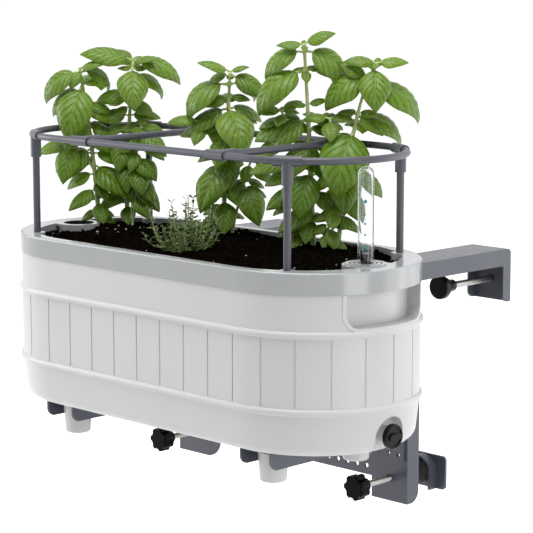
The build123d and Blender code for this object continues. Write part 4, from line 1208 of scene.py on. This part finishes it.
@dataclass
class BasilPlant:
    """One basil plant: stems, leaf stalks and quilted, arching leaves that lean to the light."""

    node: str
    stems: tuple
    clear: KeepClear
    seed: int
    petiole: float = 0.12
    width: float = 0.315
    widths: tuple = (0.92, 1.06)
    cup: float = 0.62
    growth: float = 1.24
    light: float = 315.0
    lean: float = 32.0
    # height at which the painted light from a leaf's height on the plant is full
    top_height: float = 230.0
    young_length: float = 45.0
    hang: float = 1.2
    least_droop: float = 10.0
    droop_spread: float = 5.0
    droop_bend: float = 1.15
    roll_spread: float = 9.0
    thickness: float = 0.00035
    shoulder: tuple = (2.6, 0.55, 0.95)
    tip_half: float = 0.0006
    teeth: float = 0.006
    quilt: float = 0.032
    furrow: float = 0.014
    furrow_half: float = 0.1
    ripple: float = 0.035
    stalk_drop: float = 0.0004
    stalk_sides: int = 7
    knuckle: float = 0.0005
    knuckle_reach: float = 3.0
    knuckle_leaf: float = 25.0
    spine_steps: int = 60
    stem_steps: int = 40
    stem_sides: int = 10
    stations: int = 29
    columns: int = 15
    turns: tuple = (0.0, 12.0, -12.0, 24.0, -24.0, 38.0, -38.0, 54.0, -54.0)
    rng: random.Random = field(init=False)
    green: MeshSketch = field(init=False)
    wood: MeshSketch = field(init=False)

    def __post_init__(self) -> None:
        """Seed the small differences between leaves."""
        self.rng = random.Random(self.seed)
        self.green = MeshSketch()
        self.wood = MeshSketch()

    def stem_point(self, stem: Stem, height: float) -> Vector:
        """Place on a stem at a height.

        Args:
            stem: the stem.
            height: mm above the soil's flat.

        Returns:
            The place in the row frame, in metres.
        """
        low, middle, high = (planter_point(*place) for place in stem.path)
        control = middle * 2 - (low + high) * 0.5
        shares = np.linspace(0, 1, self.stem_steps + 1)
        heights = low.z * (1 - shares) ** 2 + control.z * 2 * shares * (1 - shares) + high.z * shares ** 2
        share = float(np.interp(SOIL_TOP + height * MM, heights, shares))
        return low * (1 - share) ** 2 + control * (2 * share * (1 - share)) + high * share ** 2

    def spine(self, base: Vector, heading: float, length: float, rise: float, droop: float) -> tuple:
        """Middle line of a leaf that arches over, with its side and upward directions.

        Args:
            base: where its stalk leaves the stem.
            heading: compass of the leaf, in degrees from +X.
            length: length of stalk and blade, in metres.
            rise: slope at the stem, in degrees.
            droop: fall at the tip, in degrees.

        Returns:
            Points along it, its side direction, and its upward direction at each point.
        """
        steps = np.linspace(0, 1, self.spine_steps + 1)
        pitch = np.radians(rise - (rise + droop) * steps ** self.droop_bend)
        turned = Matrix.Rotation(math.radians(self.light), 3, "Z")
        turned = turned @ Matrix.Rotation(math.radians(self.lean), 3, "Y")
        turned = turned @ Matrix.Rotation(math.radians(heading - self.light), 3, "Z")
        ahead = np.array(turned @ Vector((1.0, 0.0, 0.0)))
        up = np.array(turned @ Vector((0.0, 0.0, 1.0)))
        along = np.cos(pitch)[:, None] * ahead + np.sin(pitch)[:, None] * up
        travel = np.concatenate((np.zeros((1, 3)), np.cumsum(along[:-1], 0)))
        points = np.array(base) + travel * length / self.spine_steps
        return points, np.cross(up, ahead), np.cos(pitch)[:, None] * up - np.sin(pitch)[:, None] * ahead

    def along_spine(self, values: np.ndarray, shares: np.ndarray) -> np.ndarray:
        """Values of a spine at shares of its length, between its own points.

        Args:
            values: a vector at each point of the spine.
            shares: shares of its length.

        Returns:
            A vector at each share.
        """
        steps = np.arange(self.spine_steps + 1)
        wanted = shares * self.spine_steps
        return np.stack([np.interp(wanted, steps, values[:, axis]) for axis in range(3)], 1)

    def blade(self, spine: tuple, length: float, roll: float, width: float) -> tuple[np.ndarray, np.ndarray]:
        """Upper and lower points of a blade.

        Args:
            spine: what spine() gives.
            length: length of stalk and blade, in metres.
            roll: tilt about the middle line, in degrees.
            width: half width as a share of the length.

        Returns:
            Points of both sides, and their place on the leaf: across, along, and 1 on the underside.
        """
        line, side, upward = spine
        s = np.linspace(0, 1, self.stations)
        middle = self.along_spine(line, self.petiole + (1 - self.petiole) * s)
        normal = self.along_spine(upward, self.petiole + (1 - self.petiole) * s)
        tilt = math.radians(roll)
        across = side * math.cos(tilt) + normal * math.sin(tilt)
        normal = normal * math.cos(tilt) - side * math.sin(tilt)
        fullness, near_power, far_power = self.shoulder
        outline = fullness * s ** near_power * (1 - s) ** far_power
        half = np.maximum(outline * width * length, self.tip_half - 0.0004 * s)
        u = np.linspace(-1, 1, self.columns)
        lobes = 1 + self.teeth * np.sin(s * math.pi * VEIN_PAIRS * 2)
        out = half[:, None] * lobes[:, None] * np.sin(self.cup * u) / self.cup
        fall = half[:, None] * (1 - np.cos(self.cup * u)) / self.cup
        sweep = (s[:, None] * VEIN_PAIRS - np.abs(u) * VEIN_SWEEP) % 1.0
        pillow = 1 - (np.abs(sweep - 0.5) * 2) ** 4
        room = np.sin(np.abs(u) * math.pi)[None, :] * np.sin(math.pi * s)[:, None] ** 0.6
        groove = np.exp(-(u / self.furrow_half) ** 2)[None, :] * np.sin(math.pi * s)[:, None]
        ripple = self.ripple * half[:, None] * np.sin(s * 9.0 + roll)[:, None] * u ** 2
        lift = self.quilt * length * pillow * room - self.furrow * length * groove + ripple - fall
        upper = (middle[:, None, :] + out[:, :, None] * across[:, None, :]
                 + lift[:, :, None] * normal[:, None, :])
        lower = upper - self.thickness * normal[:, None, :]
        grid = np.stack(np.broadcast_arrays(u[None, :], s[:, None]), -1).reshape(-1, 2)
        place = np.concatenate([np.column_stack((grid, np.full(len(grid), flag))) for flag in (0.0, 1.0)])
        return np.concatenate((upper.reshape(-1, 3), lower.reshape(-1, 3))), place

    def blade_faces(self) -> list[tuple]:
        """Faces of a closed blade.

        Returns:
            Tuples of point numbers.
        """
        wide = self.columns
        under = self.stations * wide
        faces = []
        for row in range(self.stations - 1):
            for column in range(wide - 1):
                a = row * wide + column
                faces.append((a, a + 1, a + wide + 1, a + wide))
                faces.append((under + a, under + a + wide, under + a + wide + 1, under + a + 1))
            for column in (0, wide - 1):
                a = row * wide + column
                faces.append((a, a + wide, under + a + wide, under + a))
        for row in (0, self.stations - 1):
            for column in range(wide - 1):
                a = row * wide + column
                faces.append((a, a + 1, under + a + 1, under + a))
        return faces

    def grow_leaf(self, stem: Stem, joint: Leaves, heading: float, length: float) -> None:
        """Grow one leaf where it clears the frame, turned a little if need be.

        Args:
            stem: the stem that carries it.
            joint: its row.
            heading: its compass, in degrees.
            length: its length, in mm.
        """
        base = self.stem_point(stem, joint.height)
        roll = self.rng.uniform(-self.roll_spread, self.roll_spread)
        width = self.width * self.rng.uniform(*self.widths)
        facing = math.cos(math.radians(heading - self.light))
        droop = max(joint.droop * self.hang - self.lean * max(facing, 0.0), self.least_droop)
        droop += self.rng.uniform(-self.droop_spread, self.droop_spread)
        young = max(0.0, 1 - length / self.young_length)
        # tint is partly the paler colour of young leaves and partly painted light: leaves high on the plant
        # are painted paler as if lit, lower ones darker as if shaded by those above
        high = joint.height / self.top_height
        tint = min(1.0, max(0.0, young * 0.45 + high * 0.5 + self.rng.uniform(-0.2, 0.25)))
        size = length * MM
        for turn in self.turns:
            spine = self.spine(base, heading + turn, size, joint.rise, droop)
            points, place = self.blade(spine, size, roll, width)
            if self.clear.free(points):
                values = {LEAF_PLACE: place, LEAF_TINT: np.full(len(points), tint)}
                self.green.add(points, self.blade_faces(), **values)
                self.grow_stalk(spine, size)
                return
        log.info("%s: no room for a leaf of %d mm at %d mm", self.node, length, joint.height)

    def grow_stalk(self, spine: tuple, size: float) -> None:
        """Stalk of one leaf, from the stem to just under its blade.

        Args:
            spine: what spine() gives.
            size: length of stalk and blade, in metres.
        """
        kept = slice(0, int(self.spine_steps * self.petiole) + 3, 3)
        stalk = spine[0][kept] - self.stalk_drop * spine[2][kept]
        girth = 0.0006 + 0.012 * size
        self.wood.tube(stalk, np.linspace(girth * 1.25, girth * 0.8, len(stalk)), self.stalk_sides)

    def grow_stem(self, stem: Stem) -> None:
        """One stem, swollen a little where its larger leaves leave it.

        Args:
            stem: the stem.
        """
        heights = np.linspace(stem.path[0][2], stem.path[2][2], self.stem_steps)
        path = np.array([self.stem_point(stem, height) for height in heights])
        share = np.linspace(0, 1, self.stem_steps)
        radii = (stem.girth * (1 - 0.5 * share)) * MM
        for joint in stem.leaves:
            if max(joint.length, joint.opposite) > self.knuckle_leaf:
                radii += self.knuckle * np.exp(-((heights - joint.height) / self.knuckle_reach) ** 2)
        self.wood.tube(path, radii, self.stem_sides)

    def build(self) -> None:
        """Stems and leaves as two pieces that stand for the CAD plant."""
        for stem in self.stems:
            self.grow_stem(stem)
            for joint in stem.leaves:
                pair = ((joint.heading, joint.length), (joint.heading + 180, joint.opposite))
                for heading, length in pair:
                    if length:
                        self.grow_leaf(stem, joint, heading, length * self.growth)
        leaves = self.green.build(self.node + "_leaves", BASIL_LEAF, LINER_BODY)
        stalks = self.wood.build(self.node + "_stems", BASIL_STEM, LINER_BODY)
        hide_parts(self.node)


@dataclass
class ThymeTuft:
    """Tuft of thin sprigs that arch out from one root and then up, with crossed pairs of narrow leaves."""

    sprigs: int = 42
    root: tuple = (-6.0, -34.0)
    foot: float = 14.0
    spread: float = 54.0
    tall: float = 62.0
    short: float = 0.62
    sprig_radii: tuple = (0.0011, 0.0005)
    sprig_sides: int = 6
    path_points: int = 15
    leaf: float = 11.0
    leaf_half: float = 0.165
    leaf_thick: float = 0.05
    leaf_roll: float = 1.3
    pair_gap: float = 5.0
    seed: int = 11
    rng: random.Random = field(init=False)
    green: MeshSketch = field(init=False)
    wood: MeshSketch = field(init=False)

    def __post_init__(self) -> None:
        """Seed the tuft."""
        self.rng = random.Random(self.seed)
        self.green = MeshSketch()
        self.wood = MeshSketch()

    def small_leaf(self, base: np.ndarray, direction: np.ndarray, size: float) -> None:
        """Add one narrow leaf as a flat spindle, rolled at random about its own length.

        Args:
            base: where it leaves the sprig.
            direction: unit direction that it points in.
            size: its length, in metres.
        """
        level = np.cross(direction, np.array((0.0, 0.0, 1.0)))
        level /= np.linalg.norm(level) + 1e-9
        upright = np.cross(level, direction)
        roll = self.rng.uniform(-self.leaf_roll, self.leaf_roll)
        side = level * math.cos(roll) + upright * math.sin(roll)
        top = np.cross(side, direction)
        near = base + direction * size * 0.35
        far = base + direction * size * 0.7
        wide, thick = side * size * self.leaf_half, top * size * self.leaf_thick
        points = np.array((base, near + wide, near + thick, near - wide, near - thick,
                           far + wide * 0.92, far + thick * 0.8, far - wide * 0.92, far - thick * 0.8,
                           base + direction * size))
        faces = [(0, 1, 2), (0, 2, 3), (0, 3, 4), (0, 4, 1), (9, 6, 5), (9, 7, 6), (9, 8, 7), (9, 5, 8)]
        faces += [(a, b, b + 4, a + 4) for a, b in ((1, 2), (2, 3), (3, 4), (4, 1))]
        self.green.add(points, faces)

    def grow_sprig(self, number: int) -> None:
        """One sprig: it leaves the root low, curves up, and carries crossed pairs of leaves.

        Args:
            number: its place in the tuft, from the middle outwards.
        """
        share = (number + 0.5) / self.sprigs
        facing = math.radians(GOLDEN_ANGLE * number) + self.rng.uniform(-0.3, 0.3)
        out = np.array((math.cos(facing), math.sin(facing), 0.0))
        up = np.array((0.0, 0.0, 1.0))
        short = 1.0 if number % 3 == 0 else self.short
        base = np.array(planter_point(*self.root, 0)) + out * (self.foot * math.sqrt(share) * MM)
        reach = self.spread * share * self.rng.uniform(0.65, 1.1) * short * MM
        height = self.tall * (1 - 0.3 * share) * self.rng.uniform(0.7, 1.05) * short * MM
        t = np.linspace(0, 1, self.path_points)[:, None]
        bend = base + out * reach * self.rng.uniform(0.75, 1.0) + up * height * self.rng.uniform(0.2, 0.4)
        path = (1 - t) ** 2 * base + 2 * t * (1 - t) * bend + t ** 2 * (base + out * reach + up * height)
        radii = np.linspace(*self.sprig_radii, self.path_points) * (0.75 + 0.25 * short)
        self.wood.tube(path, radii, self.sprig_sides)
        length = np.linalg.norm(np.diff(path, axis=0), axis=1).sum()
        pairs = int(length / (self.pair_gap * MM))
        steps = np.arange(self.path_points)
        for pair in range(1, pairs + 1):
            along = pair / pairs * (self.path_points - 1)
            place = np.array([np.interp(along, steps, path[:, axis]) for axis in range(3)])
            turn = facing + pair * math.pi / 2 + self.rng.uniform(-0.5, 0.5)
            size = self.leaf * MM * self.rng.uniform(0.7, 1.1) * (1 - 0.3 * pair / pairs)
            for half in (0, math.pi):
                slope = self.rng.uniform(-0.25, 1.0)
                outward = np.array((math.cos(turn + half), math.sin(turn + half), slope))
                self.small_leaf(place, outward / np.linalg.norm(outward), size)

    def build(self) -> None:
        """All sprigs, as leaves and stems that stand for the CAD tuft."""
        for number in range(self.sprigs):
            self.grow_sprig(number)
        leaves = self.green.build("thyme_leaves", THYME_LEAF, LINER_BODY)
        stalks = self.wood.build("thyme_stems", THYME_STEM, LINER_BODY)
        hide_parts("thyme")


@dataclass(frozen=True)
class Lamp:
    """Soft area lamp: square, or an upright strip where it has a height of its own."""

    name: str
    place: tuple
    size: float
    power: float
    tall: float = 0.0

    def hang(self, target: tuple) -> None:
        """Put the lamp up.

        Args:
            target: the point that it is aimed at.
        """
        data = bpy.data.lights.new(self.name, "AREA")
        data.size = self.size
        if self.tall:
            data.shape = "RECTANGLE"
            data.size_y = self.tall
        data.energy = self.power
        lamp = bpy.data.objects.new(self.name, data)
        lamp.location = self.place
        lamp.rotation_mode = "QUATERNION"
        lamp.rotation_quaternion = (Vector(target) - Vector(self.place)).to_track_quat("-Z", "Y")
        bpy.context.scene.collection.objects.link(lamp)


@dataclass
class Studio:
    """Pale floor, soft lamps and the camera at the photograph's angle."""

    lamps: tuple = (
        Lamp("left", (-1.75, -1.05, 0.45), 1.1, 18.0),
        Lamp("right_front", (1.859, -0.219, 0.2), 0.8, 7.2, 1.2),
        Lamp("right_back", (1.299, 1.118, 0.2), 1.0, 4.5, 1.2),
        Lamp("behind", (0.9, 1.9, 0.3), 1.4, 6.0),
        Lamp("top", (0.2, -0.5, 2.2), 1.8, 54.0),
    )
    air_level: float = 0.26
    air_shown: float = 1.0
    eye: tuple = (1.7215, -1.7910, 0.3854)
    back: tuple = (0.69586, -0.70119, 0.15526)
    focal: float = 140.73
    sensor: float = 36.0
    sight: float = 400.0
    floor_drop: float = 0.12
    floor_size: float = 120.0
    floor_tone: tuple = (0.8, 0.8, 0.8)
    floor_roughness: float = 0.9
    floor_glow: float = 0.78

    def floor_material(self) -> bpy.types.Material:
        """White floor that stays pale to the eye, to gloss and through glass, and keeps the shadow.

        Returns:
            The new material.
        """
        sketch = ShaderSketch("studio_floor")
        sketch.set(Base_Color=rgba(self.floor_tone), Roughness=self.floor_roughness)
        seen = sketch.tree.nodes.new("ShaderNodeLightPath")
        shown = sketch.math(Sum.MAXIMUM, seen.outputs["Is Camera Ray"], seen.outputs["Is Transmission Ray"])
        shown = sketch.math(Sum.MAXIMUM, shown, seen.outputs["Is Glossy Ray"])
        glow = sketch.tree.nodes.new("ShaderNodeEmission")
        sketch.join(sketch.math(Sum.MULTIPLY, shown, self.floor_glow), glow.inputs["Strength"])
        both = sketch.tree.nodes.new("ShaderNodeAddShader")
        sketch.join(sketch.surface.outputs["BSDF"], both.inputs[0])
        sketch.join(glow.outputs["Emission"], both.inputs[1])
        sketch.join(both.outputs[0], sketch.output.inputs["Surface"])
        return sketch.material

    def floor(self) -> bpy.types.Object:
        """Floor below the planter.

        Returns:
            The new object.
        """
        half = self.floor_size / 2
        z = CAD_BOX[0].z - self.floor_drop
        corners = [(-half, -half, z), (half, -half, z), (half, half, z), (-half, half, z)]
        mesh = bpy.data.meshes.new("floor")
        mesh.from_pydata(corners, [], [(0, 1, 2, 3)])
        mesh.materials.append(self.floor_material())
        floor = bpy.data.objects.new("floor", mesh)
        bpy.context.scene.collection.objects.link(floor)
        return floor

    def world(self) -> None:
        """Even light all round, white where the camera, gloss or glass shows it."""
        world = bpy.data.worlds.new("studio_air")
        world.use_nodes = True
        tree = world.node_tree
        air = tree.nodes["Background"]
        seen = tree.nodes.new("ShaderNodeLightPath")
        level = tree.nodes.new("ShaderNodeMapRange")
        level.inputs["To Min"].default_value = self.air_level
        level.inputs["To Max"].default_value = self.air_shown
        shown = seen.outputs["Is Camera Ray"]
        for kind in ("Is Glossy Ray", "Is Transmission Ray"):
            either = tree.nodes.new("ShaderNodeMath")
            either.operation = Sum.MAXIMUM.value
            tree.links.new(shown, either.inputs[0])
            tree.links.new(seen.outputs[kind], either.inputs[1])
            shown = either.outputs[0]
        tree.links.new(shown, level.inputs["Value"])
        tree.links.new(level.outputs["Result"], air.inputs["Strength"])
        air.inputs["Color"].default_value = (1.0, 1.0, 1.0, 1.0)
        bpy.context.scene.world = world

    def camera(self) -> None:
        """Camera at the photograph's viewing angle."""
        data = bpy.data.cameras.new("photo_camera")
        data.lens = self.focal
        data.sensor_width = self.sensor
        data.clip_end = self.sight
        camera = bpy.data.objects.new("photo_camera", data)
        camera.location = self.eye
        camera.rotation_mode = "QUATERNION"
        camera.rotation_quaternion = (-Vector(self.back)).to_track_quat("-Z", "Y")
        bpy.context.scene.collection.objects.link(camera)
        bpy.context.scene.camera = camera

    def build(self) -> None:
        """Set the studio up."""
        self.floor()
        for lamp in self.lamps:
            lamp.hang(tuple((CAD_BOX[0] + CAD_BOX[1]) / 2))
        self.world()
        self.camera()
        bpy.context.scene.view_settings.view_transform = "Standard"


def main() -> None:
    """Build the looks in order."""
    logging.basicConfig(level=logging.INFO, format="%(name)s %(message)s")
    CadDress(frame["record"], frame["nodes"]).dress()
    for side in ("left", "right"):
        ThreadedRod(f"lower_rod_{side}", f"lower_screw_{side}").build()
    GaugeMarks().build()
    PottingSoil().build()
    clear = KeepClear()
    BasilPlant("basil_left", BASIL_LEFT, clear, 21).build()
    BasilPlant("basil_middle", BASIL_MIDDLE, clear, 22).build()
    BasilPlant("basil_right", BASIL_RIGHT, clear, 23).build()
    ThymeTuft().build()
    Studio().build()


if __name__ == "__main__":
    main()
